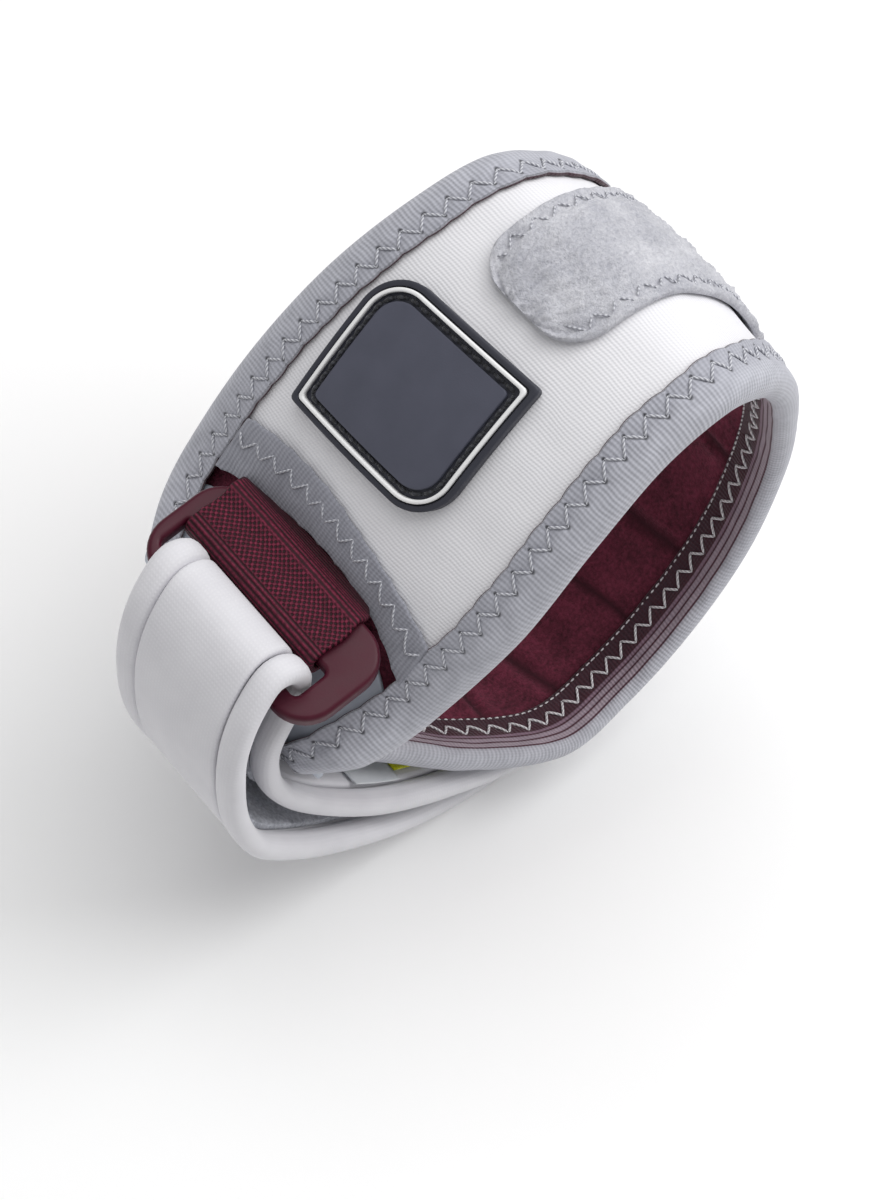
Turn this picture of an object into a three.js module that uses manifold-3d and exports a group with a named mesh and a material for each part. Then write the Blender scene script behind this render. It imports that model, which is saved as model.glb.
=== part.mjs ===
// A tennis elbow strap: a padded forearm cuff, closed by a strap that runs through a buckle
import * as THREE from "three";
import { mergeVertices } from "three/addons/utils/BufferGeometryUtils.js";
import Module from "manifold-3d";

const wasm = await Module();
wasm.setup();

// Sizes in millimetres. x runs along the cuff's long side, y along the forearm (the near rim is
// at -y) and z out of the badge's wall, until the whole part is turned to lie as it rests.
const CUFF_LENGTH = 100;
const CUFF_DEPTH = 92;
const CUFF_WIDTH = 70;
const CUFF_TAPER = 0.06;
const CUFF_CROWN = 4.5;
const GAP = 0.3;
const LINING = 1;
const SHELL = 1.7;
const BINDING = 0.9;
const BINDING_OUTSIDE = 8;
const BINDING_INSIDE = 8;
const PLATE = 1.1;
const WEBBING = 1.2;
const WEBBING_WIDTH = 31;
const STRAP_WIDTH = 30;
const STRAP_CORE = 2.4;
const STRAP_HEM = 3.8;
const HEM_WIDTH = 5;
const PILE = 1;
const BUCKLE_ENDS = 12;
const BUCKLE_LENGTH = STRAP_WIDTH + BUCKLE_ENDS;
const BUCKLE_WIDTH = 19.6;
const BUCKLE_THICK = 3.2;
const BUCKLE_BAR = 3.6;
const BADGE_ROUND = 27.8;
const BADGE_LENGTH = 32.4;
const BADGE_THICK = 2;
const BADGE_CORNER = 8;
const BADGE_TURN = 3.5;
const PATCH_THICK = 1.4;
const PATCH_CORNER = 7;
const HOOK_THICK = 1;
const TAB_THICK = 0.6;
const FILM_THICK = 0.4;
const REST_ROLL = -26.2;
const REST_FLAT = 0.8;

// Heights through the cuff's wall, from its middle outwards
const WALL = LINING + GAP + SHELL;
const LINING_LOW = -WALL / 2;
const LINING_HIGH = LINING_LOW + LINING;
const SHELL_LOW = LINING_HIGH + GAP;
const SHELL_HIGH = WALL / 2;
const RIM_HIGH = SHELL_HIGH + GAP + BINDING;
const RIM_LOW = LINING_LOW - GAP - BINDING;

// The cuff's outline as seen through the near opening, round from the buckle end over the front.
// along and out are shares of CUFF_LENGTH and CUFF_DEPTH, near and far of half CUFF_WIDTH.
const OUTLINE = [
  { along: -0.5, out: 0.15, near: 0.65, far: 0.54 },
  { along: -0.45, out: 0.225, near: 0.8, far: 0.7 },
  { along: -0.323, out: 0.25, near: 0.89, far: 0.89 },
  { along: -0.14, out: 0.372, near: 0.975, far: 0.9 },
  { along: 0.047, out: 0.457, near: 0.95, far: 0.865 },
  { along: 0.217, out: 0.495, near: 0.915, far: 0.79 },
  { along: 0.36, out: 0.475, near: 0.915, far: 0.72 },
  { along: 0.44, out: 0.365, near: 0.9, far: 0.66 },
  { along: 0.478, out: 0.21, near: 0.88, far: 0.65 },
  { along: 0.474, out: 0.01, near: 0.86, far: 0.7 },
  { along: 0.43, out: -0.18, near: 0.88, far: 0.78 },
  { along: 0.3, out: -0.36, near: 0.955, far: 0.84 },
  { along: 0.13, out: -0.465, near: 1.01, far: 0.86 },
  { along: -0.04, out: -0.5, near: 1.04, far: 0.86 },
  { along: -0.2, out: -0.445, near: 1.055, far: 0.86 },
  { along: -0.33, out: -0.29, near: 0.87, far: 0.76 },
  { along: -0.42, out: -0.105, near: 0.64, far: 0.62 },
  { along: -0.48, out: 0.045, near: 0.6, far: 0.52 },
];

const outlineCurve = new THREE.CatmullRomCurve3(
  OUTLINE.map((p) => new THREE.Vector3(p.along * CUFF_LENGTH, 0, p.out * CUFF_DEPTH)),
  true,
  "centripetal",
);
outlineCurve.arcLengthDivisions = 720;
const LOOP = outlineCurve.getLength();
const LENGTHS = outlineCurve.getLengths();

// A value that follows the outline's rows, at the share t of the way along the curve.
function rowValue(column, t) {
  const count = OUTLINE.length;
  const place = (outlineCurve.getUtoTmapping(t - Math.floor(t)) * count) % count;
  const row = Math.floor(place);
  const value = (i) => OUTLINE[(row + i + count) % count][column];
  const x = place - row;
  const slopeStart = (value(1) - value(-1)) / 2;
  const slopeEnd = (value(2) - value(0)) / 2;
  const bend = 2 * (value(0) - value(1)) + slopeStart + slopeEnd;
  return value(0) + x * (slopeStart + x * (3 * (value(1) - value(0)) - 2 * slopeStart - slopeEnd + x * bend));
}

const nearEdge = (t) => (rowValue("near", t) * CUFF_WIDTH) / 2;
const farEdge = (t) => (-rowValue("far", t) * CUFF_WIDTH) / 2;

// The point at the distance u round the cuff, y along the forearm and height out of the wall.
// The wall tapers towards the far rim and its rims are drawn in.
function onCuff(u, y, height) {
  const t = u / LOOP - Math.floor(u / LOOP);
  const p = outlineCurve.getPointAt(t);
  const along = outlineCurve.getTangentAt(t);
  const out = height - CUFF_CROWN * ((2 * y) / CUFF_WIDTH) ** 2;
  const scale = 1 - (CUFF_TAPER * y) / CUFF_WIDTH;
  return new THREE.Vector3((p.x - along.z * out) * scale, y, (p.z + along.x * out) * scale);
}

// A closed solid from rings of points, each ring as long as the last; closed rings meet end to end.
function skin(rings, closed) {
  const size = rings[0].length;
  const positions = rings.flat().flatMap((p) => [p.x, p.y, p.z]);
  const index = [];
  const last = closed ? rings.length : rings.length - 1;
  for (let i = 0; i < last; i += 1) {
    const next = (i + 1) % rings.length;
    for (let j = 0; j < size; j += 1) {
      const k = (j + 1) % size;
      const [a, b, c, d] = [i * size + j, i * size + k, next * size + k, next * size + j];
      index.push(...(rings[i][k].y > rings[i][j].y ? [a, b, c, a, c, d] : [a, b, d, b, c, d]));
    }
  }
  if (!closed) {
    for (const [start, turn] of [[0, 1], [(rings.length - 1) * size, -1]]) {
      const flat = rings[start / size];
      const middle = flat.reduce((sum, p) => sum.clone().add(p), new THREE.Vector3()).divideScalar(size);
      positions.push(middle.x, middle.y, middle.z);
      const hub = positions.length / 3 - 1;
      for (let j = 0; j < size; j += 1) {
        const k = (j + 1) % size;
        index.push(...(turn > 0 ? [start + k, start + j, hub] : [start + j, start + k, hub]));
      }
    }
  }
  const geometry = new THREE.BufferGeometry();
  geometry.setAttribute("position", new THREE.Float32BufferAttribute(positions, 3));
  geometry.setIndex(index);
  return geometry;
}

// The same geometry with its faces pointing out.
function facingOut(geometry) {
  const solid = asSolid(geometry);
  const triVerts = solid.mesh.triVerts;
  if (solid.signedVolume < 0) {
    for (let i = 0; i < triVerts.length; i += 3) {
      [triVerts[i + 1], triVerts[i + 2]] = [triVerts[i + 2], triVerts[i + 1]];
    }
  }
  const out = new THREE.BufferGeometry();
  out.setAttribute("position", new THREE.Float32BufferAttribute(solid.mesh.vertProperties, 3));
  out.setIndex(Array.from(triVerts));
  return out;
}

function asSolid(geometry) {
  const bare = geometry.clone();
  for (const name of Object.keys(bare.attributes)) {
    if (name !== "position") bare.deleteAttribute(name);
  }
  const merged = mergeVertices(bare, 1e-4);
  const points = merged.attributes.position.array;
  const triVerts = new Uint32Array(merged.index.array);
  let signedVolume = 0;
  const corner = (i) => new THREE.Vector3().fromArray(points, 3 * triVerts[i]);
  for (let i = 0; i < triVerts.length; i += 3) {
    signedVolume += corner(i).dot(corner(i + 1).cross(corner(i + 2))) / 6;
  }
  return { signedVolume, mesh: { numProp: 3, vertProperties: new Float32Array(points), triVerts } };
}

const manifoldOf = (geometry) => new wasm.Manifold(new wasm.Mesh(asSolid(geometry).mesh));

function geometryOf(manifold) {
  const mesh = manifold.getMesh();
  const geometry = new THREE.BufferGeometry();
  geometry.setAttribute("position", new THREE.Float32BufferAttribute(mesh.vertProperties, 3));
  geometry.setIndex(Array.from(mesh.triVerts));
  return geometry;
}

// A ring right round the cuff, from a cross-section of (y, height) points at each place.
const LOOP_STEPS = 60;
function loopRing(section) {
  const rings = [];
  for (let i = 0; i < LOOP_STEPS; i += 1) {
    const u = LENGTHS[(i * outlineCurve.arcLengthDivisions) / LOOP_STEPS];
    rings.push(section(u / LOOP).map(([y, height]) => onCuff(u, y, height)));
  }
  return facingOut(skin(rings, true));
}

// A wall's section from y0 to y1, with as many steps as its faces need to follow the crowned cuff.
function wallSection(y0, y1, low, high, steps) {
  const at = (i, height) => [y0 + ((y1 - y0) * i) / steps, height];
  const row = [...Array(steps + 1).keys()];
  return [...row.map((i) => at(i, low)), ...row.reverse().map((i) => at(i, high))];
}

// A pad on the cuff. place turns its own (p, q) into (distance round, distance along the forearm),
// limits gives q's two ends at p. Eased steps are closer together near the two ends.
function pad({ from, to, steps, across, low, high, limits, place, eased = false }) {
  const rings = [];
  for (let i = 0; i <= steps; i += 1) {
    const share = eased ? (1 - Math.cos((Math.PI * i) / steps)) / 2 : i / steps;
    const p = from + (to - from) * share;
    const [q0, q1] = limits(p);
    rings.push(wallSection(q0, q1, low, high, across).map(([q, height]) => onCuff(...place(p, q), height)));
  }
  return facingOut(skin(rings, false));
}

const group = new THREE.Group();
function add(name, geometry, color, roughness = 0.9) {
  const mesh = new THREE.Mesh(geometry, new THREE.MeshStandardMaterial({ color, roughness, metalness: 0 }));
  mesh.name = name;
  group.add(mesh);
}

// Cuff wall, its lining and the tapes folded over its two rims. The wall's faces break where the
// tapes end.
const bandSection = (low, high, inset) => (t) => {
  const [near, far] = [-nearEdge(t), -farEdge(t)];
  const third = (far - near - 2 * BINDING_OUTSIDE) / 3;
  const places = [near + inset];
  for (let i = 0; i <= 3; i += 1) places.push(near + BINDING_OUTSIDE + i * third);
  places.push(far - inset);
  return [...places.map((y) => [y, low]), ...places.reverse().map((y) => [y, high])];
};

// A tape's section: out along the outer face, round the rim and back along the inner face.
const ROUND = 1.3;
function tapeSection(edge, inward) {
  const at = (depth, height) => [edge + inward * depth, height];
  return [
    at(BINDING_OUTSIDE, RIM_HIGH),
    at(ROUND, RIM_HIGH),
    at(0, RIM_HIGH - ROUND),
    at(0, RIM_LOW + ROUND),
    at(ROUND, RIM_LOW),
    at(BINDING_INSIDE, RIM_LOW),
    at(BINDING_INSIDE, RIM_LOW + BINDING),
    at(BINDING, RIM_LOW + BINDING),
    at(BINDING, RIM_HIGH - BINDING),
    at(BINDING_OUTSIDE, RIM_HIGH - BINDING),
  ];
}

// The window, in rows from the near rim to the far one: where its curved tape starts and ends, as
// shares of the loop. across is a share of half CUFF_WIDTH.
const WINDOW = [
  { across: -1.14, inner: 0.055, outer: 0.09 },
  { across: -0.76, inner: 0.078, outer: 0.11 },
  { across: -0.44, inner: 0.099, outer: 0.124 },
  { across: -0.15, inner: 0.107, outer: 0.1315 },
  { across: 0.18, inner: 0.1045, outer: 0.1355 },
  { across: 0.58, inner: 0.089, outer: 0.127 },
  { across: 1.08, inner: 0.055, outer: 0.094 },
];
const WINDOW_START = -0.012 * LOOP;
const WINDOW_TUCK = 3;

function windowEdge(column, y) {
  const points = WINDOW.map((row) => new THREE.Vector2((row.across * CUFF_WIDTH) / 2, row[column] * LOOP));
  const share = (y - points[0].x) / (points.at(-1).x - points[0].x);
  let [low, high] = [0, 1];
  const curve = new THREE.SplineCurve(points);
  for (let i = 0; i < 30; i += 1) {
    const middle = (low + high) / 2;
    if (curve.getPoint(middle).x < points[0].x + share * (points.at(-1).x - points[0].x)) low = middle;
    else high = middle;
  }
  return curve.getPoint(low).y;
}

// A block over the window, from one edge to another across the cuff, kept between the rims.
const WINDOW_STEPS = 20;
const WINDOW_ACROSS_STEPS = 7;
function windowBlock(left, right, low, high, inset) {
  const block = manifoldOf(pad({
    from: -CUFF_WIDTH / 2,
    to: CUFF_WIDTH / 2,
    steps: WINDOW_STEPS,
    across: WINDOW_ACROSS_STEPS,
    low,
    high,
    limits: (y) => [left(y), right(y)],
    place: (y, u) => [u, y],
  }));
  return block.intersect(manifoldOf(loopRing(bandSection(low - 1, high + 1, inset))));
}

const webShift = 0.053 * CUFF_WIDTH;
const webStart = windowEdge("inner", 0) + 1.5;
const WEB_RISE = 2.5;
const SEAT_SPARE = 0.1;
const SEAT = SHELL_HIGH + GAP + SEAT_SPARE;
const inTape = BINDING_OUTSIDE - 1;
const shell = manifoldOf(loopRing(bandSection(SHELL_LOW, SHELL_HIGH, BINDING + GAP)));
const opening = windowBlock(
  () => WINDOW_START,
  (y) => windowEdge("inner", y) + WINDOW_TUCK,
  SHELL_LOW - 1,
  SHELL_HIGH + 1,
  inTape,
);
add("cuff_lining", loopRing(bandSection(LINING_LOW, LINING_HIGH, BINDING + GAP)), "#5a2030");
add("cuff_shell", geometryOf(shell.subtract(opening)), "#eceae8");
add("near_rim_binding", loopRing((t) => tapeSection(-nearEdge(t), 1)), "#b9bac4");
add("far_rim_binding", loopRing((t) => tapeSection(-farEdge(t), -1)), "#b9bac4");

// Stiffener plate in the window and the tape along the window's curved edge
const PLATE_SHORT = 4;
const PLATE_LIFT = 0.25;
add("stiffener_plate", geometryOf(windowBlock(
  () => WINDOW_START + 2 * GAP,
  (y) => windowEdge("inner", y) - PLATE_SHORT,
  SHELL_LOW + PLATE_LIFT,
  SHELL_LOW + PLATE_LIFT + PLATE,
  inTape + 2 * GAP,
)), "#a9b0b9", 0.4);
add("window_binding", geometryOf(windowBlock(
  (y) => windowEdge("inner", y),
  (y) => windowEdge("outer", y),
  SEAT,
  RIM_HIGH,
  BINDING_OUTSIDE + GAP,
)), "#b9bac4");

// How far a rounded corner of radius r draws a side in, at the distance d from the end.
const cornerInset = (r, d) => (d >= r ? 0 : r - Math.sqrt(Math.max(0, r * r - (r - d) ** 2)));

// Badge: a thick base with a sunk middle, in it a raised border line and a panel. Two of its corners
// are round, the other two nearly sharp.
const BADGE_AT = [0.203 * LOOP, 0.05 * CUFF_WIDTH];
const BADGE_EDGE = 1;
const BADGE_BORDER = 0.6;
const BADGE_SHARP = 0.8;
const BADGE_SINK = 0.8;
const BADGE_RAISED = 0.4;
const badgeTurn = THREE.MathUtils.degToRad(BADGE_TURN);
function onBadge(p, q) {
  const [cos, sin] = [Math.cos(badgeTurn), Math.sin(badgeTurn)];
  return [BADGE_AT[0] + p * cos - q * sin, BADGE_AT[1] + p * sin + q * cos];
}
function badgeBlock(inset, low, high) {
  const [halfP, halfQ] = [BADGE_ROUND / 2 - inset, BADGE_LENGTH / 2 - inset];
  const round = (d) => cornerInset(BADGE_CORNER - inset, d);
  const sharp = (d) => cornerInset(BADGE_SHARP, d);
  return pad({
    from: -halfP,
    to: halfP,
    steps: 10,
    across: 3,
    low,
    high,
    eased: true,
    limits: (p) => [
      -halfQ + Math.max(round(p + halfP), sharp(halfP - p)),
      halfQ - Math.max(sharp(p + halfP), round(halfP - p)),
    ],
    place: onBadge,
  });
}
const badgeTop = SEAT + BADGE_THICK;
const badgeFloor = badgeTop - BADGE_SINK;
add("badge_base", geometryOf(
  manifoldOf(badgeBlock(0, SEAT, badgeTop)).subtract(manifoldOf(badgeBlock(BADGE_EDGE, badgeFloor, badgeTop + 1))),
), "#3c3f4e", 0.6);
const ring = manifoldOf(badgeBlock(BADGE_EDGE + GAP, badgeFloor + GAP, badgeTop + BADGE_RAISED));
const ringHole = manifoldOf(badgeBlock(BADGE_EDGE + GAP + BADGE_BORDER, badgeFloor, badgeTop + 1));
add("badge_border", geometryOf(ring.subtract(ringHole)), "#f0f0f0", 0.6);
add("badge_panel", badgeBlock(BADGE_EDGE + 2 * GAP + BADGE_BORDER, badgeFloor + GAP, badgeTop), "#53566a", 0.6);

// The patch that the strap's hooks grip runs from the front round the cuff's blind end.
const PATCH = [
  { round: 0.272, near: -0.32, far: 0.33 },
  { round: 0.34, near: -0.37, far: 0.31 },
  { round: 0.42, near: -0.5, far: 0.31 },
  { round: 0.52, near: -0.58, far: 0.33 },
  { round: 0.6, near: -0.6, far: 0.34 },
];
const PATCH_STEPS = 32;
function patchSide(column, u) {
  const last = PATCH.length - 1;
  const i = Math.min(last - 1, Math.max(0, PATCH.findIndex((row) => row.round * LOOP > u) - 1));
  const row = u >= PATCH[last].round * LOOP ? last - 1 : i;
  const share = (u - PATCH[row].round * LOOP) / ((PATCH[row + 1].round - PATCH[row].round) * LOOP);
  return (THREE.MathUtils.lerp(PATCH[row][column], PATCH[row + 1][column], share) * CUFF_WIDTH) / 2;
}
const [patchStart, patchEnd] = [PATCH[0].round * LOOP, PATCH.at(-1).round * LOOP];
function patchLimits(u) {
  const inset = cornerInset(PATCH_CORNER, Math.min(u - patchStart, patchEnd - u));
  return [patchSide("near", u) + inset, patchSide("far", u) - inset];
}
add("loop_patch", pad({
  from: patchStart,
  to: patchEnd,
  steps: PATCH_STEPS,
  across: 3,
  low: SEAT,
  high: SEAT + PATCH_THICK,
  limits: patchLimits,
  place: (u, y) => [u, y],
}), "#c9cad2");

// Buckle: an outline with rounded ends, a slot for the strap and a broad bar for the webbing
const BUCKLE_AT = new THREE.Vector3(-0.373 * CUFF_LENGTH, -0.034 * CUFF_WIDTH, 0.363 * CUFF_DEPTH);
const BUCKLE_TILT = 15;
const BUCKLE_CORNER = 6.5;
const BUCKLE_ROUND = 0.8;
const SLOT_CLEAR = 2;
const SLOT = STRAP_HEM + 2 * GAP + SLOT_CLEAR;
const SLOT_SPARE = 3.8;
const SLOT_SHIFT = 1.3;
const buckleTurn = new THREE.Matrix4()
  .makeRotationY(THREE.MathUtils.degToRad(BUCKLE_TILT))
  .setPosition(BUCKLE_AT);
const onBuckle = (x, y, z) => new THREE.Vector3(x, y, z).applyMatrix4(buckleTurn);

function roundedRectangle(shape, x, y, width, length, r) {
  const [x0, x1, y0, y1] = [x - width / 2, x + width / 2, y - length / 2, y + length / 2];
  shape.moveTo(x0 + r, y0);
  shape.lineTo(x1 - r, y0);
  shape.absarc(x1 - r, y0 + r, r, -Math.PI / 2, 0, false);
  shape.lineTo(x1, y1 - r);
  shape.absarc(x1 - r, y1 - r, r, 0, Math.PI / 2, false);
  shape.lineTo(x0 + r, y1);
  shape.absarc(x0 + r, y1 - r, r, Math.PI / 2, Math.PI, false);
  shape.lineTo(x0, y0 + r);
  shape.absarc(x0 + r, y0 + r, r, Math.PI, 1.5 * Math.PI, false);
  return shape;
}

function buckle() {
  const outline = roundedRectangle(new THREE.Shape(), 0, 0, BUCKLE_WIDTH, BUCKLE_LENGTH, BUCKLE_CORNER);
  const slotMiddle = -BUCKLE_WIDTH / 2 + BUCKLE_BAR + SLOT / 2;
  outline.holes.push(roundedRectangle(new THREE.Path(), slotMiddle, SLOT_SHIFT, SLOT, STRAP_WIDTH + SLOT_SPARE, 1));
  const body = new THREE.ExtrudeGeometry(outline, {
    depth: BUCKLE_THICK - 2 * BUCKLE_ROUND,
    bevelEnabled: true,
    bevelThickness: BUCKLE_ROUND,
    bevelSize: BUCKLE_ROUND,
    bevelOffset: -BUCKLE_ROUND,
    bevelSegments: 1,
    curveSegments: 4,
  });
  body.translate(0, 0, BUCKLE_ROUND - BUCKLE_THICK / 2);
  body.applyMatrix4(buckleTurn);
  return facingOut(body);
}
add("buckle", buckle(), "#5e1f33", 0.35);

// A ribbon along a path in the plane across the forearm, from a section of (y, height) points. It
// runs from one step of the path to another. Height is to the left of the way that the path runs.
function ribbon(path, steps, from, to, section) {
  const places = [from];
  for (let i = Math.floor(from) + 1; i < to; i += 1) places.push(i);
  places.push(to);
  const rings = [];
  for (const place of places) {
    const t = place / steps;
    const p = path.getPointAt(t);
    const along = path.getTangentAt(t);
    const length = Math.hypot(along.x, along.z);
    rings.push(section.map(([y, height]) => new THREE.Vector3(
      p.x - (along.z / length) * height,
      p.y + y,
      p.z + (along.x / length) * height,
    )));
  }
  return facingOut(skin(rings, false));
}
const box = (y0, y1, low, high) => [[y0, low], [y1, low], [y1, high], [y0, high]];

// Webbing: from under the window's tape over the buckle's broad bar, round it and back beneath
const WEB_Y = 1.8;
const WEB_BAR_Y = 2.3;
const WEB_SPARE = 0.05;
const WEB_BOW = 0.1;
const WEB_BEND = 0.6;
const WEB_FLAT = 4;
const WEB_STEPS = 28;
const BEYOND = 20;
const barLeft = -BUCKLE_WIDTH / 2 + BUCKLE_BAR + SLOT;
const barRight = BUCKLE_WIDTH / 2;
const webClear = BUCKLE_THICK / 2 + GAP + WEBBING / 2 + WEB_SPARE;
const webPath = new THREE.CatmullRomCurve3([
  onCuff(webStart, webShift, SHELL_LOW + GAP + WEBBING / 2),
  onCuff(webStart - WEB_RISE, webShift, SHELL_HIGH + GAP + WEBBING / 2),
  onBuckle(barRight + 1.6, WEB_Y + 1, BUCKLE_THICK / 2),
  onBuckle(barRight - 1, WEB_Y + 0.8, webClear + 0.25),
  onBuckle(barRight - WEB_FLAT, WEB_Y + GAP, webClear),
  onBuckle(barLeft + 1.5, WEB_BAR_Y, webClear + WEB_BOW),
  onBuckle(barLeft - WEB_BEND, WEB_BAR_Y, webClear - WEB_BEND),
  onBuckle(barLeft - GAP - WEBBING / 2 - 0.25, WEB_BAR_Y, 0),
  onBuckle(barLeft - WEB_BEND, WEB_BAR_Y, WEB_BEND - webClear),
  onBuckle(barLeft + 1.5, WEB_BAR_Y, -webClear - WEB_BOW),
  onBuckle(barRight - WEB_FLAT - 1, WEB_Y, -webClear),
], false, "centripetal");
const webbing = manifoldOf(ribbon(webPath, WEB_STEPS, 0, WEB_STEPS, (
  box(-WEBBING_WIDTH / 2, WEBBING_WIDTH / 2, -WEBBING / 2, WEBBING / 2)
)));
const beyondTape = (from, low) => windowBlock(
  (y) => windowEdge("inner", y) + from,
  (y) => windowEdge("inner", y) + BEYOND,
  low,
  SEAT + BEYOND,
  0,
);
add("webbing_tab", geometryOf(
  webbing.subtract(beyondTape(-GAP, SEAT - GAP)).subtract(beyondTape(WINDOW_TUCK - 1, SHELL_LOW)),
), "#4a1526", 0.7);

// Closure strap: sewn to the cuff's back, up through the buckle's slot, over its outer bar, down and
// round the back again. Rows on the cuff are a share of the loop and a number of layers beneath;
// free rows are shares of CUFF_LENGTH and CUFF_DEPTH. shift is a share of STRAP_WIDTH.
const STRAP_PATH = [
  { round: 0.7, layers: 0, shift: 0.54 },
  { round: 0.735, layers: 0, shift: 0.56 },
  { round: 0.77, layers: 0, shift: 0.57 },
  { round: 0.805, layers: 0, shift: 0.56 },
  { round: 0.84, layers: 0.1, shift: 0.53 },
  { along: -0.458, out: -0.205, shift: 0.45 },
  { along: -0.527, out: -0.035, shift: 0.36 },
  { along: -0.557, out: 0.085, shift: 0.28 },
  { along: -0.557, out: 0.19, shift: 0.22 },
  { along: -0.52, out: 0.268, shift: 0.16 },
  { along: -0.453, out: 0.315, shift: 0.11 },
  { along: -0.408, out: 0.3675, shift: 0.085 },
  { along: -0.405, out: 0.433, shift: 0.085 },
  { along: -0.433, out: 0.463, shift: 0.085 },
  { along: -0.492, out: 0.455, shift: 0.13 },
  { along: -0.552, out: 0.41, shift: 0.19 },
  { along: -0.605, out: 0.32, shift: 0.26 },
  { along: -0.64, out: 0.21, shift: 0.33 },
  { along: -0.645, out: 0.11, shift: 0.39 },
  { along: -0.615, out: -0.01, shift: 0.43 },
  { along: -0.56, out: -0.155, shift: 0.46 },
  { along: -0.475, out: -0.33, shift: 0.48 },
  { along: -0.38, out: -0.45, shift: 0.49 },
  { round: 0.795, layers: 1.2, shift: 0.5 },
  { round: 0.75, layers: 1.05, shift: 0.5 },
  { round: 0.715, layers: 1.03, shift: 0.5 },
  { round: 0.675, layers: 0.6, shift: 0.47 },
  { round: 0.64, layers: 0.5, shift: 0.42 },
  { round: 0.6, layers: 0.5, shift: 0.35 },
  { round: 0.565, layers: 0.5, shift: 0.28 },
  { round: 0.535, layers: 0.5, shift: 0.22 },
];
const STRAP_SEAT = RIM_HIGH + GAP + STRAP_HEM / 2;
const STRAP_STEPS = 56;
const strapPath = new THREE.CatmullRomCurve3(STRAP_PATH.map((row) => {
  const y = -row.shift * STRAP_WIDTH;
  if (row.round === undefined) return new THREE.Vector3(row.along * CUFF_LENGTH, y, row.out * CUFF_DEPTH);
  return onCuff(row.round * LOOP, y, STRAP_SEAT + row.layers * (STRAP_HEM + GAP));
}), false, "centripetal");
strapPath.arcLengthDivisions = 600;

const HEM_ROUND = 1.1;
function hemSection(middle) {
  const [w, h, r] = [HEM_WIDTH / 2, STRAP_HEM / 2, HEM_ROUND];
  return [
    [-w, r - h], [r - w, -h], [w - r, -h], [w, r - h],
    [w, h - r], [w - r, h], [r - w, h], [-w, h - r],
  ].map(([y, height]) => [middle + y, height]);
}
const hemMiddle = STRAP_WIDTH / 2 - HEM_WIDTH / 2;
const coreHalf = STRAP_WIDTH / 2 - HEM_WIDTH - 1.5 * GAP;
const CORE_SUNK = 0.2;
const coreLow = CORE_SUNK - STRAP_HEM / 2;
const pileLow = coreLow + STRAP_CORE + GAP;
const PILE_FROM = 0.8;
const PILE_TO = 51.6;
add("strap_hem_near", ribbon(strapPath, STRAP_STEPS, 0, STRAP_STEPS, hemSection(-hemMiddle)), "#f0efee");
add("strap_hem_far", ribbon(strapPath, STRAP_STEPS, 0, STRAP_STEPS, hemSection(hemMiddle)), "#f0efee");
add("strap_core", ribbon(strapPath, STRAP_STEPS, 0, STRAP_STEPS, (
  box(-coreHalf, coreHalf, coreLow, coreLow + STRAP_CORE)
)), "#f0efee");
add("strap_pile", ribbon(strapPath, STRAP_STEPS, PILE_FROM, PILE_TO, (
  box(-coreHalf, coreHalf, pileLow, pileLow + PILE)
)), "#9a9ca6");

// Hook pad at the strap's end, which grips the patch, and the pull tab and film under the inner layer
const HOOK_FROM = PILE_TO + 0.2;
const HOOK_TO = STRAP_STEPS - 0.5;
const HOOK_NARROW = 1;
add("hook_tab", ribbon(strapPath, STRAP_STEPS, HOOK_FROM, HOOK_TO, (
  box(HOOK_NARROW - coreHalf, coreHalf - HOOK_NARROW, pileLow, pileLow + HOOK_THICK)
)), "#8d8f98");
const TAB_FROM = 7.4;
const TAB_TO = 9.9;
const FILM_TO = 12;
const TAB_NEAR = -8.5;
const TAB_FAR = 10.5;
const FILM_FAR = -3;
const underStrap = -STRAP_HEM / 2 - GAP;
add("pull_tab", ribbon(strapPath, STRAP_STEPS, TAB_FROM, TAB_TO, (
  box(TAB_NEAR, TAB_FAR, underStrap - TAB_THICK, underStrap)
)), "#d3dc14");
add("tab_film", ribbon(strapPath, STRAP_STEPS, TAB_TO + 0.1, FILM_TO, (
  box(-TAB_FAR, FILM_FAR, underStrap - FILM_THICK, underStrap)
)), "#dfe3e8", 0.3);

// Turned to lie on the strap's outer run, whose cloth is pressed flat there, over the origin
const rest = new THREE.Matrix4().makeRotationY(THREE.MathUtils.degToRad(REST_ROLL));
for (const mesh of group.children) mesh.geometry.applyMatrix4(rest);
const bounds = new THREE.Box3().setFromObject(group);
const middle = bounds.getCenter(new THREE.Vector3());
const floor = bounds.min.z + REST_FLAT;
for (const mesh of group.children) {
  mesh.geometry.translate(-middle.x, -middle.y, -floor);
  const points = mesh.geometry.attributes.position;
  for (let i = 0; i < points.count; i += 1) points.setZ(i, Math.max(0, points.getZ(i)));
  mesh.geometry.computeVertexNormals();
}

export default group;
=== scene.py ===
"""Tennis elbow strap: cloth, stitches, buckle and light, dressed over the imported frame."""
import logging
import math
from dataclasses import dataclass, field
from enum import Enum
from typing import Callable

import bmesh
import bpy
import numpy as np
from mathutils import Matrix, Vector


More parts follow.
